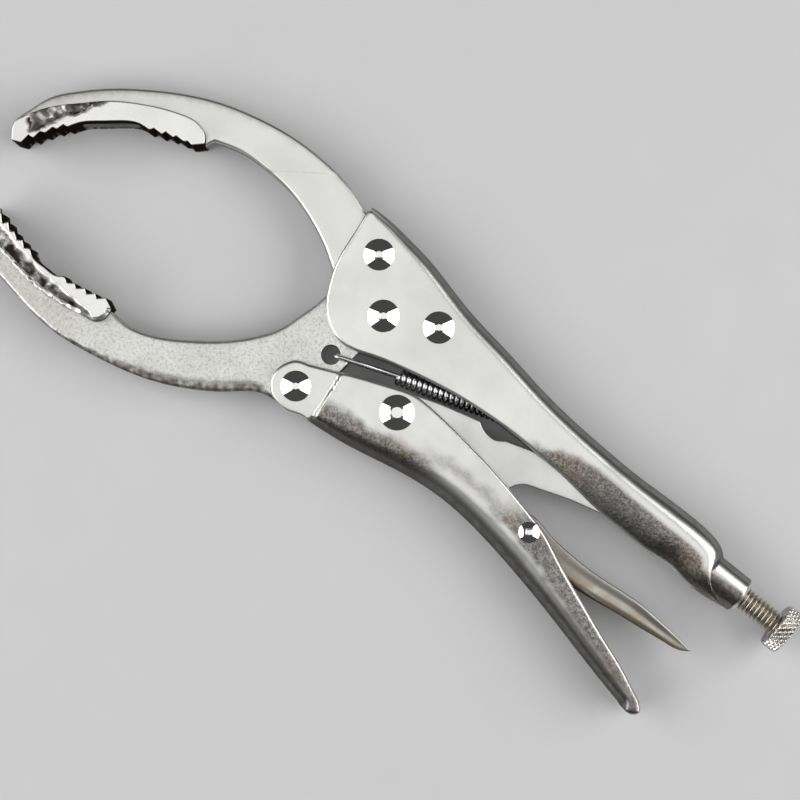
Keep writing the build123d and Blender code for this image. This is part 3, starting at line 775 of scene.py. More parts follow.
M["spring"] = metal("spring_wire", (0.66, 0.66, 0.67), (0.52, 0.52, 0.53), 0.24, 0.06, 500.0, (3000.0, 0.2, 0.00001),
                    painted_shade=(0.8, (0.12, 0.12, 0.12), 0.0, 0.6))
M["release"] = metal("release_sheet", (0.52, 0.51, 0.475), (0.44, 0.425, 0.385), 0.33, 0.04, 120.0, (2600.0, 0.08, 0.00001),
                     dirt_and_painted_shade=(120.0, 0.9, (0.36, 0.30, 0.195), 0.05), scratch=0.05, painted_shade=(0.9, (0.13, 0.11, 0.085), 0.05, 0.5))


def mask(ob, name, value):
    """Writes a mask from the vertex places, in the working mm; value is a function of an n x 3 array."""
    co = np.zeros(len(ob.data.vertices) * 3)
    ob.data.vertices.foreach_get("co", co)
    v = co.reshape(-1, 3) * 1000 - np.array((SX, SY, ZC))
    at = ob.data.attributes.get(name) or ob.data.attributes.new(name, "FLOAT", "POINT")
    at.data.foreach_set("value", np.broadcast_to(np.asarray(value(v), float), (len(v),)).astype(np.float32))


def dress(ob, mat, body, slot, *nodes):
    for key in ("peel_and_painted_shade", "dirt_and_painted_shade", "painted_shade"):
        if ob.data.attributes.get(key) is None:
            ob.data.attributes.new(key, "FLOAT", "POINT")
    ob.data.materials.clear()
    ob.data.materials.append(M[mat])
    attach(ob, body)
    if nodes:
        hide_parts(*nodes)
    return ob


def at_zero(v):
    return np.zeros(len(v))


# ------------------------------------------------------------------ fixed jaw
R_JAW = ring(0.9, 4)
uj = chain(cubic(UJ_OUTER), cubic(UJ_TANG), cubic(UJ_CRADLE), lines([UJ_CRADLE[-1], UJ_INNER[0]], 0.5), cubic(UJ_INNER),
           lines([UJ_INNER[-1], (-181.82, 4.15), (-195.0, 0.5), (-212.0, -13.0), (-221.0, -23.5), UJ_OUTER[0]], 0.5))
uj = ccw(uj)
STEP_A, STEP_B = np.array((-165.9, 8.95)), np.array((-151.9, 19.12))
step_t = (STEP_B - STEP_A) / np.hypot(*(STEP_B - STEP_A))
step_n = np.array((step_t[1], -step_t[0]))


def uj_top(P):
    z = 3.25 - edge_drop(dist_to(P, uj, True), 0.9)
    s = (P - STEP_A) @ step_n
    return z - 0.07 * smoothstep((s + 0.05) / 0.3)


line_pts = []
for o in (-0.35, -0.05, 0.1, 0.25, 0.6):
    for t in np.arange(0.9, 16.5, 0.5):
        line_pts.append(STEP_A + step_t * t + step_n * o)
line_pts = np.array(line_pts)
line_pts = line_pts[inside(line_pts, uj) & (dist_to(line_pts, uj, True) > 0.95)]


def uj_painted_shade(V):
    P = V[:, :2]
    d = dist_to(P, np.array(UJ_OUTER))
    # painted shade along the raised ground line, and a painted dark reflection on the rough forged edge behind the
    # shoe's tip
    s = (P - STEP_A) @ step_n
    near = np.exp(-((s - 0.1) / 0.22) ** 2) * (V[:, 2] > 2.4)
    tip = smoothstep((-196 - P[:, 0]) / 20) * np.exp(-(d / 2.2) ** 2) * 0.6
    return np.clip(near * 0.3 + tip, 0, 1)


upper_jaw = solid_slab("upper_jaw_forging", uj, uj_top, holes=[circle(P_FRONT, 3.16, 32), circle(P_REAR, 3.16, 32)],
                       insets=R_JAW, grid=1.3, rows=5, extra=line_pts, attrs={"dirt_and_painted_shade": uj_painted_shade})
# painted shade on the side walls, and full painted shade over the band along the shoe's arc
mask(upper_jaw, "painted_shade", lambda v: np.maximum(0.75 * smoothstep((2.75 - np.abs(v[:, 2])) / 0.5), 1.0 * (dist_to(v[:, :2], cubic(US_ARC, 0.4)) < 1.0)))
dress(upper_jaw, "upper", "fixed_handle", "forged_jaw", "upper_jaw")

# its toothed shoe
us_bound = cubic(US_BOUND, 0.4)
us = ccw(chain(us_bound, lines(US_TEETH, 0.3, 0.14), cubic(US_ARC, 0.4), lines(US_TEETH2, 0.3, 0.14)))


def us_dip(P):
    """0..1 in the hammered hollow behind the nose."""
    d = dist_to(P, us_bound)
    s0 = (P[:, 0] + 222.03) * 0.7804 + (P[:, 1] + 19.64) * 0.6252
    t = np.clip((P[:, 0] + 221.0) / 11.5, 0, 1)
    w = 6.0 * (1 - t) + 0.9 * t
    e = vnoise(P[:, 0], P[:, 1], 1.9, 3) * 0.9 + vnoise(P[:, 0], P[:, 1], 0.8, 4) * 0.4
    return smoothstep((s0 - 0.7 + e) / 2.6) * (1 - smoothstep((P[:, 0] + e + 212.8) / 5.0)) * (1 - smoothstep((d - w + 1.5 + e) / 2.2))


def us_top(P):
    d = dist_to(P, us, True)
    z = 8.0 - edge_drop(d, 0.2)
    k = us_dip(P)
    lump = vnoise(P[:, 0], P[:, 1], 2.0, 1) * 0.5 + vnoise(P[:, 0], P[:, 1], 0.95, 2) * 0.28
    return z - k * (0.75 + 0.62 * lump)


def us_painted_shade(V):
    # painted dark reflection in the hollow behind the nose, strongest near x = -213.5
    P = V[:, :2]
    k = us_dip(P) * (V[:, 2] > 5)
    return np.clip(k * (0.72 + 0.5 * np.exp(-((P[:, 0] + 213.5) / 3.2) ** 2)), 0, 1)


upper_shoe = solid_slab("upper_jaw_shoe_teeth", us, us_top, insets=ring(0.2, 2) + [0.5, 1.0], grid=0.6, rows=16,
                        attrs={"dirt_and_painted_shade": us_painted_shade})
arcs = np.vstack([cubic(US_ARC, 0.4), cubic(LS_ARC, 0.4)])
# painted bright reflection streaks towards the lower edge, which lift the painted shade
painted_reflection_streaks = lambda v: np.clip(1.0 - np.where(dist_to(v[:, :2], arcs) < 0.6, 0.55, 0.22) * smoothstep((-v[:, 2] - 1.5 + 3.0 * vnoise(v[:, 0], v[:, 1], 0.8, 32)) / 4.5) * smoothstep((vnoise(v[:, 0], v[:, 1], 0.42, 31) + 0.05) / 0.4), 0, 1)
# painted shade on the shoe's walls, lighter at the bound and lifted by the streaks, plus painted dark reflection in the
# hollow behind the nose
mask(upper_shoe, "painted_shade", lambda v: np.clip(smoothstep((7.98 - np.abs(v[:, 2])) / 0.2) * painted_reflection_streaks(v), 0, 1) * np.where(dist_to(v[:, :2], us_bound) < 0.3, 0.9, 1.0) * (1 - smoothstep((us_dip(v[:, :2]) - 0.25) / 0.4)) + 0.8 * us_dip(v[:, :2]) * (v[:, 2] > 5) * smoothstep((vnoise(v[:, 0], v[:, 1], 1.5, 41) * 1.6 + 0.55 * np.exp(-((v[:, 0] + 212.0) / 3.5) ** 2) - 0.05) / 0.5))
dress(upper_shoe, "shoe", "fixed_handle", "toothed_steel", "upper_jaw_shoe")

# ------------------------------------------------------------------ lower jaw
lj = ccw(chain(cubic(LJ_OUTER), cubic(LJ_EYE_B), lines([LJ_EYE_B[-1], LJ_EYE_A[0]], 0.5), cubic(LJ_EYE_A), cubic(LJ_INNER),
               lines([LJ_INNER[-1], (-188.0, -47.0), (-200.0, -47.4), (-214.5, -45.5), LJ_OUTER[0]], 0.5)))
lj_out = cubic(LJ_OUTER)


def lj_edge(P):
    """Rough scalloped edge along the belly of the jaw."""
    w = np.interp(P[:, 0], [-196, -183, -172, -160, -140, -131, -128], [0.05, 0.3, 1.0, 2.2, 2.6, 1.8, 0.8])
    e = vnoise(P[:, 0], P[:, 1], 1.6, 5) * 0.3
    return 1 - smoothstep((dist_to(P, lj_out) + e - w * 0.55) / (0.7 * w))


def lj_top(P):
    d = dist_to(P, lj, True)
    z = 3.2 - edge_drop(d, 1.0)
    k = lj_edge(P)
    z -= k * (0.42 + 0.10 * vnoise(P[:, 0], P[:, 1], 1.1, 6))
    flat = smoothstep(d / 2.0)
    z += flat * (0.030 * vnoise(P[:, 0], P[:, 1], 1.5, 7) + 0.05 * vnoise(P[:, 0], P[:, 1], 5.0, 8)) - 0.05 * flat
    return np.minimum(z, 3.2)


def lj_mottle_and_darkening(V):
    # random mottled tone, plus darker along the inner edge and towards the nose
    P = V[:, :2]
    k = lj_edge(P) * 0.95
    inner = np.exp(-(dist_to(P, np.array(LJ_INNER)) / 0.8) ** 2) * np.interp(P[:, 0], [-175, -165, -150, -134], [0, 0.2, 0.8, 0.6])
    mott = np.clip(vnoise(P[:, 0], P[:, 1], 9.0, 9) * 0.7, 0, 1) * 0.45
    left = smoothstep((-165 - P[:, 0]) / 20) * 0.25
    return np.clip(inner * 0.6 + mott + left, 0, 1)


lower_jaw = solid_slab("lower_jaw_forging", lj, lj_top, holes=[circle(P_JAW, 3.2, 32), circle(P_LEVER, 3.2, 32), circle(SPRING_HOLE, 2.6, 48)],
                       insets=ring(1.0, 4) + [1.6, 2.3], hole_insets=[0.08, 0.25, 0.6], grid=0.95, rows=5, attrs={"dirt_and_painted_shade": lj_mottle_and_darkening})
# painted shade on the side walls and along the scalloped belly edge
mask(lower_jaw, "painted_shade", lambda v: np.clip(np.maximum(0.8 * smoothstep((2.6 - np.abs(v[:, 2])) / 0.5), lj_edge(v[:, :2]) * (v[:, 0] > -190) * (0.75 + 0.5 * vnoise(v[:, 0] + 0.8 * v[:, 2], v[:, 1] - 0.7 * v[:, 2], 0.9, 33))), 0, 1))
dress(lower_jaw, "lower", "lower_jaw", "forged_jaw_grain", "lower_jaw")

ls_bound = cubic(LS_BOUND, 0.4)
ls = ccw(chain(ls_bound, lines(LS_TEETH, 0.3, 0.14), cubic(LS_ARC, 0.4), lines(LS_TEETH2, 0.3, 0.14)))


def ls_band(P):
    d = dist_to(P, ls_bound)
    w = np.interp(P[:, 0], [-216, -205, -195, -188, -183, -178.5, -175.5, -174], [5.3, 5.3, 4.6, 4.0, 3.1, 1.8, 0.9, 0.5])
    e = vnoise(P[:, 0], P[:, 1], 1.7, 12) * 0.35
    return np.clip(1 - (d + e) / w, 0, 1), d


def ls_top(P):
    z = 8.0 - edge_drop(dist_to(P, ls, True), 0.2)
    k, d = ls_band(P)
    lump = vnoise(P[:, 0], P[:, 1], 1.9, 13) * 0.5 + vnoise(P[:, 0], P[:, 1], 0.9, 14) * 0.3
    s = smoothstep(k * 1.1)
    z -= s * (2.3 + 0.6 * lump)
    # a fine double line along the outer side
    z -= 0.35 * np.exp(-((d - 1.0) / 0.16) ** 2) * (P[:, 0] < -180)
    return z


def ls_painted_shade(V):
    # painted shade over the sloping band, and a painted shadow crescent at the shoe's end
    P = V[:, :2]
    k, d = ls_band(P)
    body = smoothstep(k * 3.2) * (V[:, 2] > 4) * smoothstep((d - 0.5) / 0.9)
    cres = np.exp(-(dist_to(P, np.array(LS_BOUND[8:11])) / 0.7) ** 2)
    return np.clip(np.maximum(body, cres), 0, 1)


lower_shoe = solid_slab("lower_jaw_shoe_teeth", ls, ls_top, insets=ring(0.2, 2) + [0.5, 0.84, 1.0, 1.16, 1.4], grid=0.58, rows=16,
                        attrs={"dirt_and_painted_shade": ls_painted_shade}, zbot=None)
# painted shade over the sloping band and on the shoe's walls, lifted by the painted reflection streaks
ls_deep = lambda v: 0.85 * smoothstep(ls_band(v[:, :2])[0] * 2.6) * (np.abs(v[:, 2]) > 4) * smoothstep((ls_band(v[:, :2])[1] - 0.6) / 0.8) * (0.72 + 0.9 * vnoise(v[:, 0], v[:, 1], 1.1, 37))
mask(lower_shoe, "painted_shade", lambda v: np.clip(ls_deep(v) + np.where(dist_to(v[:, :2], ls_bound) < 0.4, smoothstep((5.4 - np.abs(v[:, 2])) / 0.5), smoothstep((7.98 - np.abs(v[:, 2])) / 0.2) * (ls_band(v[:, :2])[0] < 0.02)) * painted_reflection_streaks(v), 0, 1))
dress(lower_shoe, "shoe", "lower_jaw", "toothed_steel", "lower_jaw_shoe")

# ------------------------------------------------------------------ fixed handle
sp_run = cubic(SPINE)
seam_run = cubic(SEAM)
end_run = lines([SPINE[-1], (-9.4, 1.5), (-7.6, -1.4), (-4.4, -3.6), SEAM[0]], 0.4, 1.2)
closed_run = chain(sp_run, end_run, seam_run)
low_run = chain(cubic(LOWER), cubic(FRONT))
fh_out = np.vstack([closed_run, low_run[1:-1]])
fh_tags = np.array([1] * len(closed_run) + [0] * (len(low_run) - 2))
fh_tags[len(closed_run) - 1] = 0
fh_tags[0] = 0
fh_free = np.vstack([closed_run[-1:], low_run[1:-1], closed_run[:1]])
under = np.vstack([seam_run[1:], cubic(LOWER)[1:]])
area2 = (fh_out[:, 0] * np.roll(fh_out[:, 1], -1) - np.roll(fh_out[:, 0], -1) * fh_out[:, 1]).sum()
H0 = 5.3


def fh_body(P, t=0.0):
    x = P[:, 0]
    ds = dist_to(P, sp_run)
    rs = table(x, [-138, -134, -125, -115, -100, -65, -44, -27, -12], [1.7, 2.3, 3.0, 3.5, 3.8, 4.0, 4.4, 5.2, 5.2])
    u = np.clip((ds - t) / (rs - 0.5 * t), 0, 1)
    z = (H0 - t) * np.sqrt(np.clip(1 - (1 - u) ** 2, 0, 1))
    # lower side: the sheet rolls in towards the closed barrel
    a = table(x, [-78, -70, -60, -52, -44, -30, -26, -23.5, -22], [1.0, 0.985, 0.86, 0.74, 0.64, 0.5, 0.42, 0.22, 0.0])
    w = table(x, [-78, -68, -58, -46, -30, -22, -12], [3.0, 7.0, 9.5, 10.2, 9.6, 7.6, 6.4])
    ul = np.clip((dist_to(P, under) - t * (x > -22.2)) / w, 0, 1)
    roll = np.sqrt(np.clip(a * a + (1 - a * a) * (1 - (1 - ul) ** 2), 0, 1))
    z = z * roll
    ue = np.clip((dist_to(P, end_run) - t) / 3.2, 0, 1)
    z = z * np.sqrt(np.clip(1 - (1 - ue) ** 2, 0, 1))
    return z


def fh_out_z(P):
    z = fh_body(P)
    d = dist_to(P, fh_free)
    # small waves over the rear of the sheet, fading out near the closed side and the free edges
    wob = 0.05 * vnoise(P[:, 0], P[:, 1], 6.0, 21) * smoothstep((P[:, 0] + 62) / 10) * smoothstep(dist_to(P, closed_run) / 3.0)
    return np.maximum(z - edge_drop(d, 0.85) * (z > 0.85) + wob * (d > 0.9), 0.0)


def fh_in_z(P):
    return np.clip(fh_body(P, 2.0) - 0.0, 0, 3.3)


def fh_peel_and_shade(V):
    # orange-peel bumps, with a painted-shade tone, on the rolled lower side and at the barrel end
    x = V[:, 0]
    P = V[:, :2]
    e = vnoise(x, V[:, 1], 2.2, 22) * 0.7
    low = 1 - smoothstep((dist_to(P, under) + e - table(x, [-72, -64, -58, -50, -44, -12], [0.2, 1.8, 4.5, 7.6, 8.6, 8.6])) / 2.0)
    ridge = smoothstep((dist_to(P, sp_run) - table(x, [-70, -44, -27, -12], [4.6, 4.9, 5.6, 5.6])) / 1.3)
    edge = smoothstep((dist_to(P, under) - 0.35) / 0.5)
    end = smoothstep((x + 13) / 3) * smoothstep((1.5 - V[:, 1] + 0.3 * e) / 1.2)
    return np.clip(np.maximum(smoothstep((x + 71) / 8) * low * ridge * edge, end), 0, 1)


def fh_painted_shade(V):
    # painted shade along the spine bend, on the lower side and on the inner faces of the channel
    x = V[:, 0]
    P = V[:, :2]
    ds = dist_to(P, sp_run)
    w = table(x, [-138, -134, -125, -100, -65, -44, -27, -12, -8], [0.9, 1.3, 2.1, 2.7, 2.9, 3.2, 3.6, 3.4, 2.8])
    spine = 1 - smoothstep((ds - 0.55 * w) / (0.75 * w))
    low = smoothstep((x + 60) / 14) * (1 - smoothstep((dist_to(P, under) - 0.5) / 7.5)) * smoothstep((dist_to(P, under) - 0.3) / 0.4) * 0.55
    room = smoothstep((fh_out_z(P) - np.abs(V[:, 2]) - 0.9) / 0.5) * (dist_to(P, fh_free) > 0.05) * (ds > 2.2)
    return np.clip(np.maximum(np.maximum(spine, low), room), 0, 1)


grid_rear = np.array([(x, y) for x in np.arange(-70, -10, 0.7) for y in np.arange(-5.2, 8, 0.7)])
grid_rear = grid_rear[dist_to(grid_rear, sp_run) > 7.0]
# rows that follow the ridge, so that its roll stays even
ridge_t = np.gradient(sp_run, axis=0)
ridge_t /= np.hypot(ridge_t[:, 0], ridge_t[:, 1])[:, None]
ridge_n = np.stack([ridge_t[:, 1], -ridge_t[:, 0]], 1)
if not inside((sp_run + 3.0 * ridge_n)[len(sp_run) // 2:len(sp_run) // 2 + 1], fh_out)[0]:
    ridge_n = -ridge_n
ridge_rows = np.vstack([sp_run + d * ridge_n for d in (4.75, 5.4, 6.05, 6.6)])
ridge_rows = ridge_rows[(ridge_rows[:, 0] > -70) & (ridge_rows[:, 0] < -10)]
grid_rear = np.vstack([grid_rear, ridge_rows])
grid_rear = grid_rear[inside(grid_rear, fh_out) & (dist_to(grid_rear, fh_out, True) > 4.5)]
fixed = shell("fixed_handle_sheet", fh_out, fh_tags, fh_out_z, fh_in_z, 2.0, closed_run,
              holes=[circle(P_FRONT, 3.16, 32), circle(P_REAR, 3.16, 32), circle(P_JAW, 3.16, 32)],
              insets=[0.06, 0.2, 0.42, 0.7, 1.05, 1.5, 2.05, 2.7, 3.4, 4.1], hole_insets=[0.4], grid=1.1, attrs={"peel_and_painted_shade": fh_peel_and_shade, "painted_shade": fh_painted_shade}, extra=grid_rear)
dress(fixed, "sheet", "fixed_handle", "plated_sheet", "fixed_handle")


def barrel_r(x, a):
    e = 0.0 - x
    return 5.0 - 0.62 * max(0.0, 1 - e / 0.97)


barrel = turned_x("fixed_handle_barrel", np.concatenate([np.linspace(-11.4, -2, 10), [-1.4, -1.0, -0.95, -0.5, -0.05, 0.0]]),
                  barrel_r, 72, bore=3.24)
# painted shade on the barrel's top strip and lower side; the peel mask adds orange-peel bumps and a painted-shade tone
# on the lower side
mask(barrel, "painted_shade", lambda v: (v[:, 0] < -0.9) * np.clip(smoothstep((v[:, 1] - 2.3) / 1.0) + 0.55 * smoothstep((0.9 - v[:, 1]) / 1.4), 0, 1))
mask(barrel, "peel_and_painted_shade", lambda v: (v[:, 0] < -0.5) * smoothstep((1.5 + 0.10 * v[:, 0] - v[:, 1]) / 1.0))
dress(barrel, "sheet", "fixed_handle", "plated_sheet")

tongue = solid_slab("spring_tongue", ccw(lines([(-66.6, 7.6), (-66.6, 0.4), (-65.8, -0.5), (-64.2, -0.5), (-63.4, 0.4), (-63.4, 7.6), (-66.6, 7.6)], 0.4, 0.5)[:-1]),
                    lambda P: np.full(len(P), 1.0), holes=[circle((-65.0, 1.3), 0.95, 20)], grid=0.8, rows=2,
                    attrs={"peel_and_painted_shade": at_zero})
dress(tongue, "sheet", "fixed_handle", "plated_sheet")

# ------------------------------------------------------------------ lever
lv_spine = cubic(LV_OUTER)
lv_free = chain(cubic(LV_LOBE), cubic(LV_TOP), cubic(LV_TIP))
lv_out = np.vstack([lv_spine, lv_free[1:-1]])
lv_tags = np.array([1] * len(lv_spine) + [0] * (len(lv_free) - 2))
lv_tags[0] = 0
lv_tags[len(lv_spine) - 1] = 0
lv_free_line = np.vstack([lv_spine[-1:], lv_free[1:-1], lv_spine[:1]])
lv_top_run = chain(cubic(LV_TOP[4:]), cubic(LV_TIP))


def lv_joggle(P):
    return P[:, 0] - (-117.44 - 0.0954 * (P[:, 1] + 20.48))


def lv_body(P, t=0.0):
    x = P[:, 0]
    h = 5.3 + 1.0 * smoothstep((lv_joggle(P) + 0.35) / 0.9) - 0.6 * smoothstep((x + 46) / 42)
    ds = dist_to(P, lv_spine)
    rs = table(x, [-116, -106, -95, -80, -63, -50, -35, -20, -5], [3.0, 4.4, 5.4, 5.8, 6.2, 6.2, 4.6, 3.6, 2.6])
    u = np.clip((ds - t) / (rs - 0.5 * t), 0, 1)
    b = np.where(x < -116.3, 1.0, np.sqrt(np.clip(1 - (1 - u) ** 2, 0, 1)))
    z = (h - t) * b
    a = table(x, [-80, -66, -55, -40, -20, -5], [1.0, 0.995, 0.97, 0.95, 0.93, 0.93])
    w = table(x, [-80, -66, -50, -35, -20, -5], [3.0, 5.5, 8.0, 6.2, 4.2, 2.6])
    ul = np.clip(dist_to(P, lv_top_run) / w, 0, 1)
    return z * np.sqrt(np.clip(a * a + (1 - a * a) * (1 - (1 - ul) ** 2), 0, 1))


def lv_out_z(P):
    z = lv_body(P)
    d = dist_to(P, lv_free_line)
    return np.maximum(z - edge_drop(d, 0.8) * (z > 0.8), 0.0)


def lv_in_z(P):
    j = smoothstep((lv_joggle(P) + 0.35) / 0.9)
    return np.clip(np.minimum(lv_body(P, 1.7), 3.5 + j), 0, 4.5)


def lv_peel_and_shade(V):
    # orange-peel bumps with a painted-shade tone, in patches along the spine at the front, a band in the middle and
    # over the rear
    x = V[:, 0]
    P = V[:, :2]
    ds = dist_to(P, lv_spine)
    df = dist_to(P, lv_top_run)
    e = vnoise(x, V[:, 1], 2.0, 23) * 0.8
    body = smoothstep((lv_joggle(P) - 0.2) / 1.0)
    wb = table(x, [-117, -108, -98, -90, -80, -74], [6.4, 5.8, 5.6, 5.6, 5.2, 4.6])
    f = (1 - smoothstep((ds + e - wb) / 2.6)) * (1 - smoothstep((x + 90) / 12)) * body
    m = 0.55 * np.exp(-((ds + e - 8.2) / 1.6) ** 2) * smoothstep((x + 92) / 10) * (1 - smoothstep((x + 66) / 8))
    r = smoothstep((x + 66 + 1.1 * (df - 2)) / 11) * smoothstep((ds + e - table(x, [-66, -50, -35, -10], [5.2, 4.6, 3.2, 2.0])) / 2.0)
    return np.clip(np.maximum(np.maximum(f, m), r * smoothstep((df - 0.35) / 0.5)), 0, 1)


def lv_painted_shade(V):
    # painted shade along the spine bend and on the inner faces of the channel
    x = V[:, 0]
    P = V[:, :2]
    ds = dist_to(P, lv_spine)
    w = table(x, [-116, -108, -95, -80, -63, -50, -35, -20, -5], [2.6, 3.6, 4.0, 4.0, 4.8, 5.6, 6.4, 6.4, 6.0])
    room = smoothstep((lv_out_z(P) - np.abs(V[:, 2]) - 0.9) / 0.5) * (dist_to(P, lv_free_line) > 0.05) * (ds > 2.2)
    return np.clip(np.maximum((1 - smoothstep((ds - 0.3 * w) / (0.8 * w))) * smoothstep((x + 117) / 0.6), room), 0, 1)


jog = []
for o in (-0.5, -0.2, 0.1, 0.4, 0.7):
    for y in np.arange(-34.3, -19.6, 0.6):
        jog.append((-117.44 - 0.0954 * (y + 20.48) + o, y))
jog = np.array(jog)
more = np.array([(x, y) for x in np.arange(-108, -4, 0.75) for y in np.arange(-41, -14, 0.75)])
more = np.vstack([jog, more])
more = more[inside(more, lv_out) & (dist_to(more, lv_out, True) > 4.5)]
jog_in = jog[inside(jog, lv_out) & (dist_to(jog, lv_out, True) > 0.9)]
lever = shell("lever_handle_sheet", lv_out, lv_tags, lv_out_z, lv_in_z, 2.0, lv_spine,
              holes=[circle(P_LEVER, 3.16, 32), circle(P_LINK, 3.16, 32), circle(P_RELEASE, 2.01, 24)],
              insets=[0.06, 0.2, 0.4, 0.65, 1.0, 1.5, 2.05, 2.7, 3.4, 4.1], hole_insets=[0.4], grid=1.1, attrs={"peel_and_painted_shade": lv_peel_and_shade, "painted_shade": lv_painted_shade}, extra=more)
dress(lever, "lever", "lever", "plated_sheet", "lever_handle")

# ------------------------------------------------------------------ link
lk = ccw(chain(cubic(LINK_TOP), cubic(LINK_NOTCH), cubic(LINK_END), cubic(LINK_LOW), cubic(LINK_BELLY), cubic(LINK_EYE)))


def lk_top(P):
    z = 2.5 - edge_drop(dist_to(P, lk, True), 0.35)
    r = np.hypot(P[:, 0] - P_LINK[0], P[:, 1] - P_LINK[1])
    return z + 1.7 * (1 - smoothstep((r - 5.0) / 0.35))


rings2 = np.vstack([circle(P_LINK, 4.95, 48), circle(P_LINK, 5.4, 48)])
link = solid_slab("toggle_link_plate", lk, lk_top, holes=[circle(P_LINK, 3.2, 32)], insets=ring(0.35, 3), grid=1.6, rows=4, extra=rings2)
# painted shade on the plate's edges
mask(link, "painted_shade", lambda v: smoothstep((2.2 - np.abs(v[:, 2])) / 0.3))
dress(link, "link", "toggle_link", "link_steel", "toggle_link")

# ------------------------------------------------------------------ release lever
rl_top = cubic(RELEASE_TOP)
rl_low = cubic(RELEASE_LOW)
rl = ccw(chain(rl_top, rl_low, cubic([RELEASE_LOW[-1], (-62.4, -20.2), RELEASE_TOP[0]])))


def rl_z(P):
    dt, db = dist_to(P, rl_top), dist_to(P, rl_low)
    t = dt / (dt + db + 1e-6)
    leaf = 3.7 - 0.55 * smoothstep((t - 0.02) / 0.5) + 0.12 * smoothstep((t - 0.45) / 0.3) - 1.0 * smoothstep((t - 0.68) / 0.42)
    k = smoothstep((P[:, 0] + 50) / 8)
    z = (3.8 * (1 - k) + leaf * k) * 0.86
    z *= 1 - 0.62 * smoothstep((P[:, 0] + 22) / 21)
    d = dist_to(P, rl, True)
    return z - np.minimum(edge_drop(d, 0.5), 0.4 * z)


def rl_dirt(V):
    P = V[:, :2]
    dt, db = dist_to(P, rl_top), dist_to(P, rl_low)
    t = dt / (dt + db + 1e-6)
    return np.clip(smoothstep((t - 0.40) / 0.16), 0, 1)


def rl_painted_shade(V):
    # painted shade in the leaf's trough, along its lower edge and near its root
    P = V[:, :2]
    dt, db = dist_to(P, rl_top), dist_to(P, rl_low)
    t = dt / (dt + db + 1e-6)
    trough = np.exp(-((t - 0.22) / 0.17) ** 2) * 0.55
    low = smoothstep((t - 0.84) / 0.14) * 0.7
    root = 1 - smoothstep((P[:, 0] + 47) / 16)
    return np.clip(np.maximum(np.maximum(trough, low), 0.7 * root), 0, 1)


fine = np.array([(x, y) for x in np.arange(-50, -2.5, 0.55) for y in np.arange(-26.6, -17.5, 0.42)])
fine = fine[inside(fine, rl) & (dist_to(fine, rl, True) > 0.62)]
release = solid_slab("release_lever_leaf", rl, rl_z, holes=[circle(P_RELEASE, 2.05, 24)], insets=ring(0.5, 4), grid=1.2, rows=5,
                     extra=fine, attrs={"dirt_and_painted_shade": rl_dirt, "painted_shade": rl_painted_shade})
dress(release, "release", "release_lever", "plated_sheet", "release_lever")


# ------------------------------------------------------------------ rivets
def rivet(name, c, shank, head, h, seat, flat, body, node):
    """Low pointed dome: a small round tip, a nearly straight flank and a tight roll to the seat."""
    zt = seat + h
    top = [(0.0, zt - 0.02), (flat * 0.35, zt - 0.022), (flat * 0.6, zt - 0.035), (flat * 0.78, zt - 0.03), (flat, zt - 0.06), (flat * 1.1, zt - 0.13)]
    n = 26
    r0, z0 = flat * 1.1, zt - 0.13
    zs = seat + 0.28
    for i in range(1, n + 1):
        t = i / n
        r = r0 + (head - r0) * t
        k = (1 - t ** 1.22)
        top.append((r, zs + (z0 - zs) * k))
    for i in range(1, 6):
        g = math.pi / 2 * i / 5
        top.append((head - 0.10 * (1 - math.cos(g)), zs - 0.26 * math.sin(g)))
    top += [(head - 0.3, seat), (shank, seat)]
    prof = top + [(r, -z) for r, z in reversed(top)]
    dress(lathe(name, c, prof, 96), "rivet", body, "rivet", node)


rivet("rivet_jaw_front", P_FRONT, 3.15, 4.11, 1.9, 5.3, 0.95, "fixed_handle", "fixed_jaw_front_rivet")
rivet("rivet_jaw_rear", P_REAR, 3.15, 4.18, 1.9, 5.3, 0.95, "fixed_handle", "fixed_jaw_rear_rivet")
rivet("rivet_jaw_pivot", P_JAW, 3.15, 4.22, 1.9, 5.3, 0.95, "fixed_handle", "jaw_pivot_rivet")
rivet("rivet_lever_pivot", P_LEVER, 3.15, 3.99, 1.9, 5.3, 0.95, "lever", "lever_pivot_rivet")
rivet("rivet_link_pivot", P_LINK, 3.15, 4.62, 1.7, 6.3, 1.5, "lever", "link_pivot_rivet")
rivet("rivet_release", P_RELEASE, 2.0, 2.77, 1.1, 6.3, 0.8, "lever", "release_pivot_rivet")

# ------------------------------------------------------------------ screw and knob
PITCH = 1.27


def thread(x, a):
    ph = (x / PITCH - a / (2 * math.pi)) % 1.0
    v = np.abs(ph - 0.5) * 2
    d = 0.78 * smoothstep((v - 0.12) / 0.80)
    end = min(1.0, max(0.0, (x + 28.3) / 0.9))
    return (3.175 - d) * (0.80 + 0.20 * end)


xs = np.concatenate([np.arange(-28.3, 14.1, 0.127), [14.1]])
screw = turned_x("adjusting_screw_thread", xs, thread, 40)
n_s = len(screw.data.vertices)
# darker towards the thread roots
av = screw.data.attributes.new("dirt_and_painted_shade", "FLOAT", "POINT")
co = np.zeros(n_s * 3)
screw.data.vertices.foreach_get("co", co)
co = co.reshape(-1, 3) * 1000
rr = np.hypot(co[:, 1] - SY, co[:, 2] - ZC)
av.data.foreach_set("value", np.clip((3.1 - rr) / 0.6, 0, 1).astype(np.float32))
dress(screw, "screw", "adjusting_screw", "screw_thread", "adjusting_screw")

K0, KL, KR = 11.4, 4.0, 6.24


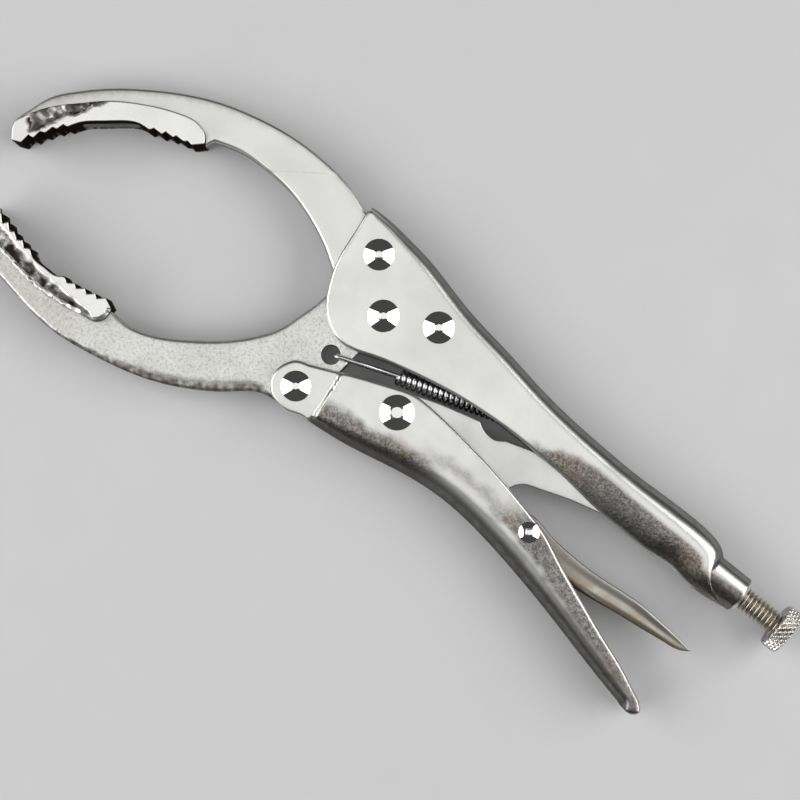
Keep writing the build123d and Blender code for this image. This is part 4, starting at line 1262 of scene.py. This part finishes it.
def knurl(x, a):
    e = min(x - K0, K0 + KL - x)
    ch = max(0.0, 1 - e / 0.35)
    n = 24
    u = a * n / (2 * math.pi)
    v = (x - K0) / 1.75
    p = np.abs(((u + v) % 1.0) - 0.5) * 2
    q = np.abs(((u - v) % 1.0) - 0.5) * 2
    depth = 0.62 * np.maximum(smoothstep((p - 0.25) / 0.7), 0.6 * smoothstep((q - 0.45) / 0.5))
    fade = min(1.0, max(0.0, e) / 0.35)
    return KR - 0.3 * ch - depth * fade


kx = np.concatenate([[K0, K0 + 0.12], np.arange(K0 + 0.24, K0 + KL - 0.2, 0.16), [K0 + KL - 0.12, K0 + KL]])
knob = turned_x("screw_knob_knurled", kx, knurl, 272)
co = np.zeros(len(knob.data.vertices) * 3)
knob.data.vertices.foreach_get("co", co)
co = co.reshape(-1, 3) * 1000
rr = np.hypot(co[:, 1] - SY, co[:, 2] - ZC)
# painted shade in the knurl grooves and on both end faces
av = knob.data.attributes.new("dirt_and_painted_shade", "FLOAT", "POINT")
face = (co[:, 0] - SX < K0 + 0.06) | (co[:, 0] - SX > K0 + KL - 0.06)
av.data.foreach_set("value", np.clip(np.maximum((6.02 - rr) / 0.28 * (rr > 5), 0.8 * face), 0, 1).astype(np.float32))
dress(knob, "knob", "screw_knob", "knurled_knob", "screw_knob")

# ------------------------------------------------------------------ spring
S = np.array((-105.6, -11.15, 0.0))
E = np.array((-76.0, -1.4, 0.0))
ax = (E - S) / np.linalg.norm(E - S)
nx = np.array((-ax[1], ax[0], 0.0))
nz = np.array((0.0, 0.0, 1.0))
L = np.linalg.norm(E - S)
turns = L / 1.48
q = np.linspace(0, 1, int(turns * 22))
ang = 2 * math.pi * turns * q + 1.57
CR = 1.76
coil = S + np.outer(q * L, ax) + CR * (np.outer(np.cos(ang), nx) + np.outer(np.sin(ang), nz))
hook = [(-121.52, -17.28, -0.6), (-121.52, -17.28, 2.4), (-121.3, -17.2, 3.9), (-120.4, -16.8, 4.2), (-118.2, -15.95, 4.18),
        (-116.2, -15.2, 4.05), (-112.5, -13.8, 3.2), (-109.0, -12.45, 2.3), (-107.0, -11.65, 1.9)]
start = [tuple(coil[0])]
front = cubic(np.array(hook + start), 0.3)
rear = cubic(np.array([tuple(coil[-1]), (-75.0, -0.6, 1.2), (-72.0, -0.2, 0.4), (-67.4, 0.9, 0.6), (-65.2, 1.25, 1.5), (-64.6, 1.4, 0.2), (-65.1, 1.3, -1.5)]), 0.3)
path = np.vstack([front[:-1], coil, rear[1:]])
spring = tube("tension_spring_wire", path, 0.64, 12)
spring.data.materials.clear()
spring.data.materials.append(M["spring"])
# painted shade towards the rear, where the coil runs under the handle, and on its lower side
mask(spring, "painted_shade", lambda v: smoothstep((v[:, 0] + 97) / 10) * 1.0 + 0.35 * smoothstep((0.4 - v[:, 2]) / 1.2))
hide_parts("tension_spring")
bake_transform(spring)

# ------------------------------------------------------------------ floor, lights, camera
COS, SIN = 0.7804, 0.6252
NAD = (-102.83, -28.42)


def img(dx, dy):
    """Plan offset in mm for a move of dx to the image's right and dy to its top."""
    return np.array((dx * COS - dy * SIN, dx * SIN + dy * COS))


fl = bpy.data.meshes.new("floor")
n = 24
span = 3.0
fv = [((i / n - 0.5) * 2 * span, (j / n - 0.5) * 2 * span, 0.0) for j in range(n + 1) for i in range(n + 1)]
ff = [(j * (n + 1) + i, j * (n + 1) + i + 1, (j + 1) * (n + 1) + i + 1, (j + 1) * (n + 1) + i) for j in range(n) for i in range(n)]
fl.from_pydata(fv, [], ff)
fl.update()
floor = bpy.data.objects.new("floor", fl)
bpy.context.scene.collection.objects.link(floor)
mf = bpy.data.materials.new("floor_paper")
nt, b = tree(mf)
b.inputs["Roughness"].default_value = 0.9
b.inputs["Specular IOR Level"].default_value = 0.12
fcol = mixc(nt, noise(nt, 60.0, 3.0, 0.5), (0.555, 0.555, 0.56), (0.585, 0.585, 0.59))
nt.links.new(fcol, b.inputs["Base Color"])
fl.materials.append(mf)


def area(name, at, to, size, power, colour=(1, 1, 1)):
    l = bpy.data.lights.new(name, "AREA")
    l.shape = "RECTANGLE"
    l.size, l.size_y = size
    l.energy = power
    l.color = colour
    o = bpy.data.objects.new(name, l)
    bpy.context.scene.collection.objects.link(o)
    o.location = at
    d = Vector(to) - Vector(at)
    o.rotation_euler = d.to_track_quat("-Z", "Y").to_euler()
    o.visible_camera = False
    return o


def place(dx, dy, z):
    p = np.array(NAD) + img(dx, dy)
    return ((p[0] + SX) / 1000, (p[1] + SY) / 1000, z / 1000)


mid = place(0, 0, 8)
top = area("overhead", place(0, 0, 1000), mid, (0.80, 0.80), 2.1)
lft = area("left_soft", place(-800, 0, 640), mid, (1.10, 0.72), 8.6)
rgt = area("right_soft", place(800, 0, 640), mid, (1.10, 0.72), 8.6)
for o in (top, lft, rgt):
    pass
top.rotation_euler = (0, 0, math.atan2(SIN, COS))

w = bpy.data.worlds.new("studio")
bpy.context.scene.world = w
w.use_nodes = True
bg = w.node_tree.nodes["Background"]
bg.inputs[0].default_value = (0.60, 0.60, 0.60, 1)
bg.inputs[1].default_value = 0.12

cd = bpy.data.cameras.new("camera")
cd.sensor_width = 36.0
cd.lens = 109.0
cd.clip_start, cd.clip_end = 0.01, 20
cam = bpy.data.objects.new("camera", cd)
bpy.context.scene.collection.objects.link(cam)
loc = Vector(place(0, 0, 638))
look = Vector(((-101.42 + SX) / 1000, (-15.63 + SY) / 1000, 0.008))
cam.location = loc
back = (loc - look).normalized()
upv = Vector((-SIN, COS, 0.0))
right = upv.cross(back).normalized()
upv = back.cross(right).normalized()
from mathutils import Matrix
cam.rotation_mode = "QUATERNION"
cam.rotation_quaternion = Matrix((right, upv, back)).transposed().to_quaternion()
bpy.context.scene.camera = cam
bpy.context.scene.view_settings.view_transform = "Standard"
